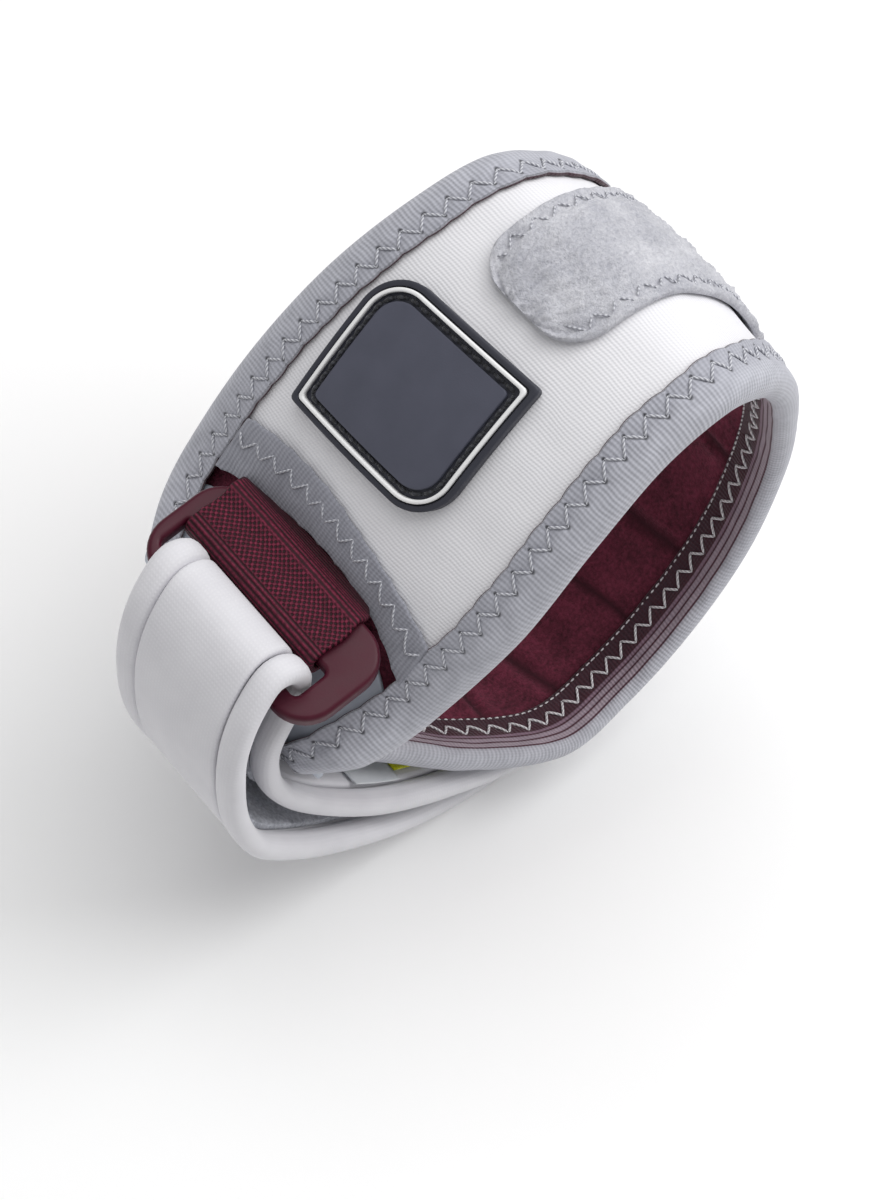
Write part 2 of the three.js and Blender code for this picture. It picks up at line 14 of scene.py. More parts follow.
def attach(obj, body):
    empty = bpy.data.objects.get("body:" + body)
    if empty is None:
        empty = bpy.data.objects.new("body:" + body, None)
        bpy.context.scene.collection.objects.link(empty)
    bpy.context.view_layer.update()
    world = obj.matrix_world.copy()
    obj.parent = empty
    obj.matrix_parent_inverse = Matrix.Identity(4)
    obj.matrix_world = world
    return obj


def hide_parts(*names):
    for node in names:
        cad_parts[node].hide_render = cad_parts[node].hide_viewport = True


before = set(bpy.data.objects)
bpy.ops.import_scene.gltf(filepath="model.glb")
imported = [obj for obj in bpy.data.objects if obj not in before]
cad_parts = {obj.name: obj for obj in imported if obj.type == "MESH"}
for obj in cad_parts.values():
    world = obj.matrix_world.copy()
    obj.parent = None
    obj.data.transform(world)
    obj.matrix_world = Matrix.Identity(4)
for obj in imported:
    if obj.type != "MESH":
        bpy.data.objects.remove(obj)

logging.basicConfig(level=logging.INFO, format="%(message)s")
LOG = logging.getLogger("strap")
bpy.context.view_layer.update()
MM = 0.001
TAU = 2 * math.pi


# Shared form: the cuff's outline, its rims and the way the whole part lies at rest

@dataclass(frozen=True)
class OutlineRow:
    """One row of the cuff's outline, in shares of its length, depth and half width."""

    along: float
    out: float
    near: float
    far: float


@dataclass(frozen=True)
class WindowRow:
    """One row of the window's curved edge, in shares of half the width and of the way round."""

    across: float
    inner: float
    outer: float


@dataclass(frozen=True)
class StrapRow:
    """One row of the closure strap's run: on the cuff by round and layers, or free by along and out."""

    shift: float
    round: float | None = None
    layers: float = 0.0
    along: float = 0.0
    out: float = 0.0


@dataclass(frozen=True)
class Wall:
    """Heights through the cuff's wall, in mm from its middle outwards."""

    lining_low: float = -1.5
    lining_high: float = -0.5
    shell_low: float = -0.2
    shell_high: float = 1.5
    rim_high: float = 2.7
    rim_low: float = -2.7
    seat: float = 1.9
    gap: float = 0.3


class Spline:
    """A smooth curve through points, read by the distance along it."""

    def __init__(self, points: np.ndarray, closed: bool, samples: int = 3000) -> None:
        """Sample the curve.

        Args:
            points: the points that it passes through, one a row.
            closed: whether its end meets its start.
            samples: how many steps its table has.
        """
        self.closed = closed
        self.count = len(points)
        share = np.linspace(0, 1, samples + 1)
        spans = self.count if closed else self.count - 1
        place = share * spans
        row = np.minimum(np.floor(place).astype(int), spans - 1)
        x = (place - row)[:, None]
        if closed:
            ring = [points[(row + k) % self.count] for k in (-1, 0, 1, 2)]
        else:
            wide = np.vstack([2 * points[0] - points[1], points, 2 * points[-1] - points[-2]])
            ring = [wide[row + k] for k in (0, 1, 2, 3)]
        spacing = [np.linalg.norm(ring[k + 1] - ring[k], axis=1)[:, None] for k in range(3)]
        step = [np.maximum(distance, 1e-6) ** 0.5 for distance in spacing]
        start = self._slope(ring[0], ring[1], ring[2], step[0], step[1]) * step[1]
        end = self._slope(ring[1], ring[2], ring[3], step[1], step[2]) * step[1]
        a, b = ring[1], ring[2]
        bend2 = -3 * a + 3 * b - 2 * start - end
        bend3 = 2 * a - 2 * b + start + end
        self.points = a + x * (start + x * (bend2 + x * bend3))
        self.slopes = start + x * (2 * bend2 + x * 3 * bend3)
        self.slopes /= np.linalg.norm(self.slopes, axis=1)[:, None]
        self.place = place
        lengths = np.linalg.norm(np.diff(self.points, axis=0), axis=1)
        self.lengths = np.concatenate([[0], np.cumsum(lengths)])
        self.length = float(self.lengths[-1])

    @staticmethod
    def _slope(p: np.ndarray, q: np.ndarray, r: np.ndarray, d: np.ndarray, e: np.ndarray) -> np.ndarray:
        """Return the slope at q between its neighbours p and r, at the spacings d and e."""
        return (q - p) / d - (r - p) / (d + e) + (r - q) / e

    def _read(self, table: np.ndarray, s: np.ndarray) -> np.ndarray:
        """Return the table's rows at the distances s."""
        s = np.asarray(s, float)
        s = np.mod(s, self.length) if self.closed else np.clip(s, 0, self.length)
        return np.stack([np.interp(s, self.lengths, column) for column in table.T], axis=-1)

    def at(self, s: np.ndarray) -> np.ndarray:
        """Return the points at the distances s."""
        return self._read(self.points, s)

    def along(self, s: np.ndarray) -> np.ndarray:
        """Return the unit directions of travel at the distances s."""
        slopes = self._read(self.slopes, s)
        return slopes / np.linalg.norm(slopes, axis=-1, keepdims=True)


@dataclass
class CuffForm:
    """The cuff's form. Points are found by round (mm round the cuff), y (mm along the forearm) and
    height (mm out of the wall's middle), then turned to lie as the frame does, in metres."""

    length: float = 100.0
    depth: float = 92.0
    width: float = 70.0
    taper: float = 0.06
    crown: float = 4.5
    end_gap: float = 0.012
    rest_roll: float = -26.2
    rest_shift: tuple[float, float, float] = (7.15481, 2.7286, 55.75933)
    rows: tuple[OutlineRow, ...] = (
        OutlineRow(-0.5, 0.15, 0.65, 0.54),
        OutlineRow(-0.45, 0.225, 0.8, 0.7),
        OutlineRow(-0.323, 0.25, 0.89, 0.89),
        OutlineRow(-0.14, 0.372, 0.975, 0.9),
        OutlineRow(0.047, 0.457, 0.95, 0.865),
        OutlineRow(0.217, 0.495, 0.915, 0.79),
        OutlineRow(0.36, 0.475, 0.915, 0.72),
        OutlineRow(0.44, 0.365, 0.9, 0.66),
        OutlineRow(0.478, 0.21, 0.88, 0.65),
        OutlineRow(0.474, 0.01, 0.86, 0.7),
        OutlineRow(0.43, -0.18, 0.88, 0.78),
        OutlineRow(0.3, -0.36, 0.955, 0.84),
        OutlineRow(0.13, -0.465, 1.01, 0.86),
        OutlineRow(-0.04, -0.5, 1.04, 0.86),
        OutlineRow(-0.2, -0.445, 1.055, 0.86),
        OutlineRow(-0.33, -0.29, 0.87, 0.76),
        OutlineRow(-0.42, -0.105, 0.64, 0.62),
        OutlineRow(-0.48, 0.045, 0.6, 0.52),
    )
    windows: tuple[WindowRow, ...] = (
        WindowRow(-1.14, 0.055, 0.09),
        WindowRow(-0.76, 0.078, 0.11),
        WindowRow(-0.44, 0.099, 0.124),
        WindowRow(-0.15, 0.107, 0.1315),
        WindowRow(0.18, 0.1045, 0.1355),
        WindowRow(0.58, 0.089, 0.127),
        WindowRow(1.08, 0.055, 0.094),
    )
    wall: Wall = field(default_factory=Wall)

    def __post_init__(self) -> None:
        """Lay the outline's curve and the tables of its rims and window."""
        points = np.array([[row.along * self.length, row.out * self.depth] for row in self.rows])
        self.outline = Spline(points, closed=True)
        self.loop = self.outline.length
        place = self.outline.place
        self._near = self._rim([row.near for row in self.rows], place)
        self._far = self._rim([row.far for row in self.rows], place)
        self._window = {
            "inner": self._edge([row.inner for row in self.windows]),
            "outer": self._edge([row.outer for row in self.windows]),
        }

    def _rim(self, shares: list[float], place: np.ndarray) -> np.ndarray:
        """Return a rim's distance from the middle, in mm, at each place of the outline's table."""
        values = np.array(shares)
        count = len(values)
        row = np.floor(place).astype(int) % count
        x = place - np.floor(place)
        value = [values[(row + k) % count] for k in (-1, 0, 1, 2)]
        start = (value[2] - value[0]) / 2
        end = (value[3] - value[1]) / 2
        bend = 2 * (value[1] - value[2]) + start + end
        smooth = value[1] + x * (start + x * (3 * (value[2] - value[1]) - 2 * start - end + x * bend))
        return smooth * self.width / 2

    def _edge(self, shares: list[float]) -> tuple[np.ndarray, np.ndarray]:
        """Return a window edge as a table of y and of the distance round, in mm."""
        across = [row.across * self.width / 2 for row in self.windows]
        curve = Spline(np.array([across, [share * self.loop for share in shares]]).T, closed=False)
        return curve.points[:, 0], curve.points[:, 1]

    def near(self, u: np.ndarray) -> np.ndarray:
        """Return the near rim's distance from the middle at the distance u round, in mm."""
        return np.interp(np.mod(u, self.loop), self.outline.lengths, self._near)

    def far(self, u: np.ndarray) -> np.ndarray:
        """Return the far rim's distance from the middle at the distance u round, in mm."""
        return np.interp(np.mod(u, self.loop), self.outline.lengths, self._far)

    def window(self, edge: str, y: np.ndarray) -> np.ndarray:
        """Return the distance round of the window's inner or outer edge at y, in mm."""
        ys, us = self._window[edge]
        return np.interp(y, ys, us)

    def flat_point(self, u: np.ndarray, y: np.ndarray, height: np.ndarray) -> np.ndarray:
        """Return the point before it is laid at rest, in mm."""
        u, y, height = np.broadcast_arrays(*(np.asarray(value, float) for value in (u, y, height)))
        p = self.outline.at(u)
        t = self.outline.along(u)
        out = height - self.crown * (2 * y / self.width) ** 2
        scale = 1 - self.taper * y / self.width
        along, up = p[..., 0] - t[..., 1] * out, p[..., 1] + t[..., 0] * out
        return np.stack([along * scale, y, up * scale], axis=-1)

    def rest(self, points: np.ndarray) -> np.ndarray:
        """Return points in mm turned to lie on the floor, in metres."""
        roll = math.radians(self.rest_roll)
        cos, sin = math.cos(roll), math.sin(roll)
        x, y, z = points[..., 0], points[..., 1], points[..., 2]
        laid = np.stack([x * cos + z * sin, y, -x * sin + z * cos], axis=-1) + np.array(self.rest_shift)
        laid[..., 2] = np.maximum(laid[..., 2], 0.0)
        return laid * MM

    def point(self, u: np.ndarray, y: np.ndarray, height: np.ndarray) -> np.ndarray:
        """Return the point on the cuff at u, y and height, at rest and in metres."""
        return self.rest(self.flat_point(u, y, height))


FORM = CuffForm()
RIM_STITCHES = 68


# Making meshes

@dataclass(frozen=True)
class Piece:
    """A visible piece: its name, finish and slot, and the solid that it stands for."""

    name: str
    finish: "Finish"
    slot: str
    node: str | None = None


def ripple(a: np.ndarray, b: np.ndarray, size: float, seed: int) -> np.ndarray:
    """Return gentle unevenness between about -1 and 1.

    Args:
        a: first coordinate, in mm.
        b: second coordinate, in mm.
        size: the width of its bumps, in mm.
        seed: which of its patterns to use.
    """
    rng = np.random.default_rng(seed)
    total = np.zeros(np.broadcast(a, b).shape)
    for _ in range(6):
        angle, phase, pace = rng.uniform(0, TAU), rng.uniform(0, TAU), rng.uniform(0.6, 1.5)
        total = total + np.sin(TAU * pace * (a * math.cos(angle) + b * math.sin(angle)) / size + phase)
    return total / 3.0


def woven_grid(piece: Piece, points: np.ndarray, uv: np.ndarray) -> bpy.types.Object:
    """Lay a grid on rings of points, close its seams and fill its open ends.

    Args:
        piece: what it is.
        points: places in metres, ring by ring. A ring or a run that closes repeats its first point.
        uv: distances in metres for the pattern, one pair a point.

    Returns:
        The piece.
    """
    rings, size = points.shape[:2]
    bm = bmesh.new()
    bmesh.ops.create_grid(bm, x_segments=rings - 1, y_segments=size - 1, size=1.0)
    layer = bm.loops.layers.uv.new("Cloth")
    for vert in bm.verts:
        i = round((vert.co.x + 1) / 2 * (rings - 1))
        j = round((vert.co.y + 1) / 2 * (size - 1))
        vert.index = i * size + j
    flat_uv = uv.reshape(-1, 2)
    for face in bm.faces:
        for corner in face.loops:
            corner[layer].uv = flat_uv[corner.vert.index]
    flat = points.reshape(-1, 3)
    for vert in bm.verts:
        vert.co = flat[vert.index]
    bmesh.ops.remove_doubles(bm, verts=bm.verts, dist=2e-6)
    ends = [edge for edge in bm.edges if edge.is_boundary]
    if ends:
        bmesh.ops.holes_fill(bm, edges=ends, sides=0)
    bmesh.ops.recalc_face_normals(bm, faces=bm.faces)
    return finished(bm, piece)


def finished(bm: bmesh.types.BMesh, piece: Piece) -> bpy.types.Object:
    """Turn a bmesh into a smooth piece that rides on the frame.

    Args:
        bm: the shape, which is freed.
        piece: what it is.

    Returns:
        The piece.
    """
    mesh = bpy.data.meshes.new(piece.name)
    bm.to_mesh(mesh)
    bm.free()
    mesh.materials.append(piece.finish.material())
    mesh.polygons.foreach_set("use_smooth", [True] * len(mesh.polygons))
    made = bpy.data.objects.new(piece.name, mesh)
    bpy.context.scene.collection.objects.link(made)
    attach(made, "root")
    if piece.node:
        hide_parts(piece.node)
    LOG.info("%s: %d faces", piece.name, len(mesh.polygons))
    return made


class Held(Enum):
    """How a sheet of cloth is held."""

    FOLDED = "folded"
    LAID = "laid"
    STRETCHED = "stretched"


def declare(piece: bpy.types.Object) -> None:
    """Read a sheet's own cloth distances, one pair a corner, into a flat table, which is not used further.

    Args:
        piece: the sheet.
    """
    mesh = piece.data
    flat = np.empty(len(mesh.loops) * 2)
    mesh.uv_layers["Cloth"].data.foreach_get("uv", flat)
    flat = flat.reshape(-1, 2)


@dataclass(frozen=True)
class PadSection:
    """The section of a flat piece: its two faces, its rounded sides and how finely they are cut."""

    low: float
    high: float
    round: float = 0.4
    across: int = 24
    puff: float = 0.0

    def table(self) -> tuple[np.ndarray, np.ndarray, np.ndarray]:
        """Return the share across, the offset in mm and the height of each of its points."""
        r = min(self.round, (self.high - self.low) / 2 - 1e-4)
        face = np.linspace(0, 1, self.across + 1)
        rows = [(s, r * (1 - 2 * s), self.high + self.puff * (1 - (2 * s - 1) ** 4)) for s in face]
        back = [(s, r * (1 - 2 * s), self.low) for s in face[::-1][1:]]
        # Each side turns from one face to the other in six steps round two quarter circles.
        for side, after, turns in (
            (1, back, ((90, self.high - r), (0, self.low + r))),
            (0, [], ((270, self.low + r), (180, self.high - r))),
        ):
            for start, middle in turns:
                for k in (1, 2, 3):
                    turn = math.radians(start - 30 * k)
                    shift = math.cos(turn) - 1 if side else math.cos(turn) + 1
                    rows.append((side, r * shift, middle + r * math.sin(turn)))
            rows += after
        table = np.array(rows)
        return table[:, 0], table[:, 1], table[:, 2]


Place = Callable[[np.ndarray, np.ndarray, np.ndarray], np.ndarray]
Limits = Callable[[np.ndarray], tuple[np.ndarray, np.ndarray]]
Relief = Callable[[np.ndarray, np.ndarray], np.ndarray]


def pad_grid(
    piece: Piece, p: np.ndarray, limits: Limits, section: PadSection, place: Place,
    relief: Relief | None = None,
) -> bpy.types.Object:
    """Sweep a flat section over p.

    Args:
        piece: what it is.
        p: distances that it is swept over, in mm.
        limits: gives the section's two ends at p, in mm.
        section: the section.
        place: turns p, q and height into points.
        relief: gives height to add to the upper face, in mm.

    Returns:
        The piece.
    """
    share, offset, height = section.table()
    q0, q1 = (np.broadcast_to(np.asarray(q, float), p.shape) for q in limits(p))
    q = q0[:, None] + share[None, :] * (q1 - q0)[:, None] + offset[None, :]
    h = np.broadcast_to(height, q.shape).copy()
    wide = np.broadcast_to(p[:, None], q.shape)
    if relief is not None:
        middle = (section.low + section.high) / 2
        h += np.where(h > middle, relief(wide, q) * (h - middle) / (section.high - middle), 0)
    return woven_grid(piece, place(wide, q, h), np.stack([wide, q], axis=-1) * MM)


def thread_tube(
    piece: Piece, path: np.ndarray, normal: np.ndarray, radius: float, closed: bool, sides: int = 6
) -> None:
    """Sweep a round thread along a path.

    Args:
        piece: what it is.
        path: its points, in metres.
        normal: the cloth's outward direction at each point.
        radius: the thread's radius in mm.
        closed: whether the path's end meets its start.
        sides: how many sides its section has.
    """
    if closed:
        ahead, behind = np.roll(path, -1, axis=0), np.roll(path, 1, axis=0)
    else:
        ahead = np.vstack([path[1:], 2 * path[-1] - path[-2]])
        behind = np.vstack([2 * path[0] - path[1], path[:-1]])
    along = ahead - behind
    along /= np.linalg.norm(along, axis=1)[:, None]
    side = np.cross(normal, along)
    side /= np.linalg.norm(side, axis=1)[:, None]
    up = np.cross(along, side)
    angle = np.linspace(0, TAU, sides + 1)
    ring = np.cos(angle)[None, :, None] * up[:, None, :] + np.sin(angle)[None, :, None] * side[:, None, :]
    points = path[:, None, :] + ring * radius * MM
    points[:, -1] = points[:, 0]
    lengths = np.concatenate([[0], np.cumsum(np.linalg.norm(np.diff(path, axis=0), axis=1))])
    if closed:
        points = np.concatenate([points, points[:1]])
        lengths = np.append(lengths, lengths[-1] + np.linalg.norm(path[0] - path[-1]))
    uv = np.stack(np.broadcast_arrays(lengths[:, None], (angle * radius * MM)[None, :]), axis=-1)
    woven_grid(piece, points, uv)


def sew(
    piece: Piece, u: np.ndarray, y: np.ndarray, height: np.ndarray, radius: float, closed: bool = False,
    way: int = 1, sides: int = 6, place: Place = FORM.point,
) -> None:
    """Sew a thread along a line of stitches.

    Args:
        piece: what it is.
        u: where its points are round the cuff, in mm.
        y: where they are along the forearm, in mm.
        height: how high they stand on the cloth, in mm.
        radius: the thread's radius in mm.
        closed: whether its end meets its start.
        way: 1 on the outer face, -1 on the inner face.
        sides: how many sides its section has.
        place: turns u, y and height into points.
    """
    path = place(u, y, way * height)
    thread_tube(piece, path, place(u, y, way * (height + 1)) - path, radius, closed, sides)


def zigzag(k: np.ndarray) -> np.ndarray:
    """Return the swing, from -1 to 1, of a seam that turns at each whole k."""
    return 2 * np.abs(np.mod(k, 2) - 1) - 1


# Finishes

def linear(code: str) -> tuple[float, float, float, float]:
    """Return an sRGB hex colour as linear RGBA."""
    parts = [int(code[i:i + 2], 16) / 255 for i in (1, 3, 5)]
    return (*(c / 12.92 if c <= 0.04045 else ((c + 0.055) / 1.055) ** 2.4 for c in parts), 1.0)


def add_node(tree: bpy.types.NodeTree, kind: str, inputs: dict, **settings: object) -> bpy.types.Node:
    """Add a node with its settings and links.

    Args:
        tree: the material's tree.
        kind: the node's type.
        inputs: values, sockets, signals or hex colours, by the input's name or number.
        settings: the node's own settings.

    Returns:
        The node.
    """
    node = tree.nodes.new(kind)
    for name, value in settings.items():
        setattr(node, name, value)
    for name, value in inputs.items():
        value = value.socket if isinstance(value, Signal) else value
        if isinstance(value, bpy.types.NodeSocket):
            tree.links.new(value, node.inputs[name])
        else:
            node.inputs[name].default_value = linear(value) if isinstance(value, str) else value
    return node


@dataclass(frozen=True)
class Signal:
    """A value in a material's tree. Sums of signals and numbers add nodes to the tree."""

    tree: bpy.types.NodeTree
    socket: bpy.types.NodeSocket

    def made(self, kind: str, a: object, b: object = 0.0, clamp: bool = False) -> "Signal":
        """Return what an operation, by its name, makes of two values."""
        node = add_node(self.tree, "ShaderNodeMath", {0: a, 1: b}, operation=kind, use_clamp=clamp)
        return Signal(self.tree, node.outputs[0])

    def __add__(self, other: object) -> "Signal":
        """Return the two together."""
        return self.made("ADD", self, other)

    def __sub__(self, other: object) -> "Signal":
        """Return this less the other."""
        return self.made("SUBTRACT", self, other)

    def __rsub__(self, other: object) -> "Signal":
        """Return the other less this."""
        return self.made("SUBTRACT", other, self)

    def __mul__(self, other: object) -> "Signal":
        """Return this times the other."""
        return self.made("MULTIPLY", self, other)

    def __truediv__(self, other: object) -> "Signal":
        """Return this over the other."""
        return self.made("DIVIDE", self, other)

    def do(self, kind: str) -> "Signal":
        """Return an operation of this value alone, such as SINE, SQRT, FRACT or ABSOLUTE."""
        return self.made(kind, self)

    def clamped(self) -> "Signal":
        """Return this kept between 0 and 1."""
        return self.made("ADD", self, 0.0, clamp=True)

    def wave(self, period: float) -> "Signal":
        """Return a wave from 0 to 1 along this distance, with its period in mm."""
        return (self * (TAU / period)).do("SINE") * 0.5 + 0.5

    def stretch(self, low: float, high: float, to_low: float = 0.0, to_high: float = 1.0) -> "Signal":
        """Return this carried from one range to another, and kept inside it."""
        node = add_node(self.tree, "ShaderNodeMapRange", {
            "Value": self, "From Min": low, "From Max": high, "To Min": to_low, "To Max": to_high,
        })
        return Signal(self.tree, node.outputs["Result"])


class Sheet:
    """A material's tree, with the cloth's own distances in mm ready to use."""

    def __init__(self, name: str) -> None:
        """Start the material.

        Args:
            name: what the surface is.
        """
        self.material = bpy.data.materials.new(name)
        self.material.use_nodes = True
        self.tree = self.material.node_tree
        self.tree.nodes.clear()
        self.cloth = self.in_mm(add_node(self.tree, "ShaderNodeUVMap", {}, uv_map="Cloth").outputs["UV"])
        split = add_node(self.tree, "ShaderNodeSeparateXYZ", {"Vector": self.cloth})
        self.u, self.v = (Signal(self.tree, split.outputs[axis]) for axis in "XY")
        self.place = self.in_mm(add_node(self.tree, "ShaderNodeTexCoord", {}).outputs["Object"])

    def in_mm(self, vector: bpy.types.NodeSocket) -> bpy.types.NodeSocket:
        """Return a place in metres as one in mm."""
        node = add_node(self.tree, "ShaderNodeVectorMath", {0: vector, "Scale": 1000.0}, operation="SCALE")
        return node.outputs["Vector"]

    def noise(
        self, size: float, detail: float = 2.0, vector: bpy.types.NodeSocket | None = None, rough: float = 0.5
    ) -> Signal:
        """Return noise from 0 to 1 with grains of a size in mm."""
        node = add_node(self.tree, "ShaderNodeTexNoise", {
            "Vector": vector or self.place, "Scale": 1.0 / size, "Detail": detail, "Roughness": rough,
        })
        return Signal(self.tree, node.outputs["Fac"])

    def mix(self, share: Signal, a: object, b: object) -> bpy.types.NodeSocket:
        """Return one colour faded into another."""
        return add_node(self.tree, "ShaderNodeMix", {0: share, 6: a, 7: b}, data_type="RGBA").outputs[2]

    def bands(self, place: Signal, stops: tuple[tuple[float, str], ...]) -> bpy.types.NodeSocket:
        """Return colours by their place from 0 to 1, with a fade from each to the next."""
        node = add_node(self.tree, "ShaderNodeValToRGB", {"Fac": place})
        ramp = node.color_ramp
        while len(ramp.elements) < len(stops):
            ramp.elements.new(0.5)
        for element, (at, code) in zip(ramp.elements, stops):
            element.position = at
            element.color = linear(code)
        return node.outputs["Color"]

    def spots(self, period: float, row: float, phase: float, radius: float) -> Signal:
        """Return round marks, 1 at their middles, in a row along the cloth.

        Args:
            period: their spacing in mm.
            row: the row's place across the cloth in mm.
            phase: the share of a period that the row is moved by.
            radius: their radius in mm.
        """
        du = ((self.u / period + phase).do("FRACT") - 0.5) * period
        dv = self.v - row
        return (du * du + dv * dv).do("SQRT").stretch(radius, radius * 0.4)

    def finish(
        self, colour: object, roughness: object, relief: Signal | None = None, relief_mm: float = 0.1,
        **sockets: object,
    ) -> bpy.types.Material:
        """End the tree in one shader.

        Args:
            colour: a hex colour or a socket.
            roughness: a value or a signal.
            relief: a height from 0 to 1.
            relief_mm: that height's size in mm.
            sockets: the shader's other values, with spaces as underscores.

        Returns:
            The material.
        """
        inputs = {"Base Color": colour, "Roughness": roughness}
        inputs.update({name.replace("_", " "): value for name, value in sockets.items()})
        if relief is not None:
            bump = add_node(self.tree, "ShaderNodeBump", {
                "Height": relief, "Distance": relief_mm * MM, "Strength": 1.0,
            })
            inputs["Normal"] = bump.outputs["Normal"]
        shader = add_node(self.tree, "ShaderNodeBsdfPrincipled", inputs)
        add_node(self.tree, "ShaderNodeOutputMaterial", {"Surface": shader.outputs["BSDF"]})
        return self.material


@dataclass(frozen=True)
class LaminatedKnit:
    """Polyester knit laminated to foam: a matt white cloth with fine ribs along the forearm."""

    name: str = "laminated rib knit"
    light: str = "#f2f1f4"
    dark: str = "#dfdfe4"
    rib: float = 0.62
    stitch: float = 0.5
    relief: float = 0.05

    def make(self) -> bpy.types.Material:
        """Return the material. The ribs catch a faint line of shade and the stitches break it up."""
        sheet = Sheet(self.name)
        ribs = (sheet.u + sheet.noise(6.0, 1.0, sheet.cloth) * 0.9).wave(self.rib)
        loops = (sheet.v + sheet.u * 0.5).wave(self.stitch)
        cloth = ribs * 0.7 + loops * 0.3
        shade = (cloth * 0.7 + sheet.noise(9.0, 3.0) * 0.5).clamped()
        return sheet.finish(
            sheet.mix(shade, self.dark, self.light), 0.88, cloth, self.relief,
            Sheen_Weight=0.25, Sheen_Roughness=0.5,
        )


@dataclass(frozen=True)
class ElasticTape:
    """Ribbed elastic binding: fine cords across the tape, a zigzag's needle holes, stripes inside.

    v runs over the section, from the tape's outer edge over the fold to its inner edge.
    """

    name: str
    holes: tuple[float, ...] = ()
    pitch: float = 4.4
    cord: float = 0.8
    length: float = 24.0
    bands: tuple[tuple[float, str], ...] = ((0.0, "#a9aab4"), (1.0, "#a9aab4"))

    def make(self) -> bpy.types.Material:
        """Return the material. Painted shade between the cords gives the tape its fine lines, and painted
        shade in the needle holes its dark dots.
        """
        sheet = Sheet(self.name)
        base = sheet.bands(sheet.v / self.length, self.bands)
        cords = (sheet.u + sheet.noise(5.0, 1.0, sheet.cloth)).wave(self.cord)
        cloth = cords * 0.7 + sheet.v.wave(0.55) * 0.3
        blotch = sheet.noise(2.5, 4.0).stretch(0.35, 0.65)
        # Painted shade darkens the colour between the cords, where the cloth is low; the blotches are random
        # tone.
        dark = sheet.mix((1.0 - cloth) * 0.24 + blotch * 0.12, base, "#3c3d48")
        height = cloth
        # The zigzag turns at its two rows by turns, and leaves smaller holes in the second. Each hole gets
        # near-black painted shade as well as a dip in the relief.
        for index, row in enumerate(self.holes):
            second = index % 2
            hole = sheet.spots(self.pitch, row, 0.5 * second, 0.55 - 0.15 * second)
            # Painted shade: the hole's colour is pulled towards near black.
            dark = sheet.mix(hole * 0.85, dark, "#1d1e25")
            height = height - hole * 2.0
        return sheet.finish(dark, 0.85, height, 0.12, Sheen_Weight=0.2, Sheen_Roughness=0.5)


@dataclass(frozen=True)
class BrushedFleece:
    """Brushed polyester: short fibres that lie this way and that, so the colour comes in soft clouds."""

    name: str
    dark: str
    light: str
    fibre: float = 0.75
    cloud: float = 5.0
    relief: float = 0.5
    sheen: float = 0.6
    tint: str = "#ffffff"
    folds: tuple[tuple[float, float], ...] = ()

    def make(self) -> bpy.types.Material:
        """Return the material. Painted shade darkens it along its folds, and sheen lightens its edges as
        fibres do.
        """
        sheet = Sheet(self.name)
        fine = sheet.noise(self.fibre, 4.0, rough=0.7)
        shade = (fine * 0.75 + sheet.noise(self.cloud, 3.0) * 0.5).stretch(0.42, 0.8)
        # Painted shade: the colour is darkened along each fold line, which sways along the cuff as the
        # lining's creases do.
        for line, wide in self.folds:
            sway = (sheet.v / 8.0 + line).do("SINE") * 2.0
            shade = shade * (sheet.u - (sway + line)).do("ABSOLUTE").stretch(0.0, wide)
        return sheet.finish(
            sheet.mix(shade, self.dark, self.light), 0.95, fine, self.relief,
            Sheen_Weight=self.sheen, Sheen_Roughness=0.45, Sheen_Tint=self.tint,
        )


@dataclass(frozen=True)
class FoamKnit:
    """Smooth knit over foam: a close white cloth with almost no grain, soft at its turns."""

    name: str = "smooth foam knit"
    light: str = "#e3e2e6"
    dark: str = "#d0cfd4"
    stitch: float = 0.62

    def make(self) -> bpy.types.Material:
        """Return the material. A fine grid of stitches keeps it from looking like plastic."""
        sheet = Sheet(self.name)
        grid = sheet.u.wave(self.stitch) * sheet.v.wave(self.stitch)
        shade = (grid * 0.2 + sheet.noise(7.0, 3.0) * 0.9).clamped()
        return sheet.finish(
            sheet.mix(shade, self.dark, self.light), 0.85, grid, 0.02, Sheen_Weight=0.2, Sheen_Roughness=0.5,
        )


@dataclass(frozen=True)
class WovenElastic:
    """Woven elastic webbing: cords across it, satin at its borders and a fine weave in its middle."""

    name: str = "woven elastic"
    dark: str = "#22050e"
    light: str = "#7d2440"
    rib: float = 0.72
    check: float = 1.05
    middle: float = 14.8
    half: float = 3.2

    def make(self) -> bpy.types.Material:
        """Return the material. The cords shine a little, which draws the fine stripes."""
        sheet = Sheet(self.name)
        warp, weft = ((way * (TAU / self.check)).do("SINE") for way in (sheet.u, sheet.v))
        weave = (warp * weft).stretch(-0.5, 0.5)
        zone = (sheet.u - self.middle).do("ABSOLUTE").stretch(self.half - 0.2, self.half + 0.2)
        cloth = sheet.u.wave(self.rib) * zone + weave * (1.0 - zone)
        speck = sheet.noise(0.5, 3.0).stretch(0.35, 0.65)
        shade = (cloth * (speck * 0.6 + 0.35)).clamped()
        # Painted shade darkens it where it goes under the window's tape.
        shade = shade * sheet.u.stretch(self.middle + 6.4, self.middle + 7.4, 1.0, 0.3)
        return sheet.finish(
            sheet.mix(shade, self.dark, self.light), 0.6, cloth, 0.16, Specular_IOR_Level=0.25)


@dataclass(frozen=True)
class MouldedPlastic:
    """Injection-moulded plastic: a faint grain and a few soft scuffs under an even gloss."""

    name: str
    colour: str
    light: str
    rough: float = 0.35
    grain: float = 0.35
    gloss: float = 0.5

    def make(self) -> bpy.types.Material:
        """Return the material. The grain breaks the highlight's edge as moulded plastic does."""
        sheet = Sheet(self.name)
        scuff = sheet.noise(4.0, 4.0).stretch(0.35, 0.75)
        return sheet.finish(
            sheet.mix(scuff * 0.35, self.colour, self.light),
            scuff.stretch(0, 1, self.rough, self.rough + 0.14), sheet.noise(self.grain, 2.0), 0.012,
            IOR=1.49, Specular_IOR_Level=self.gloss,
        )


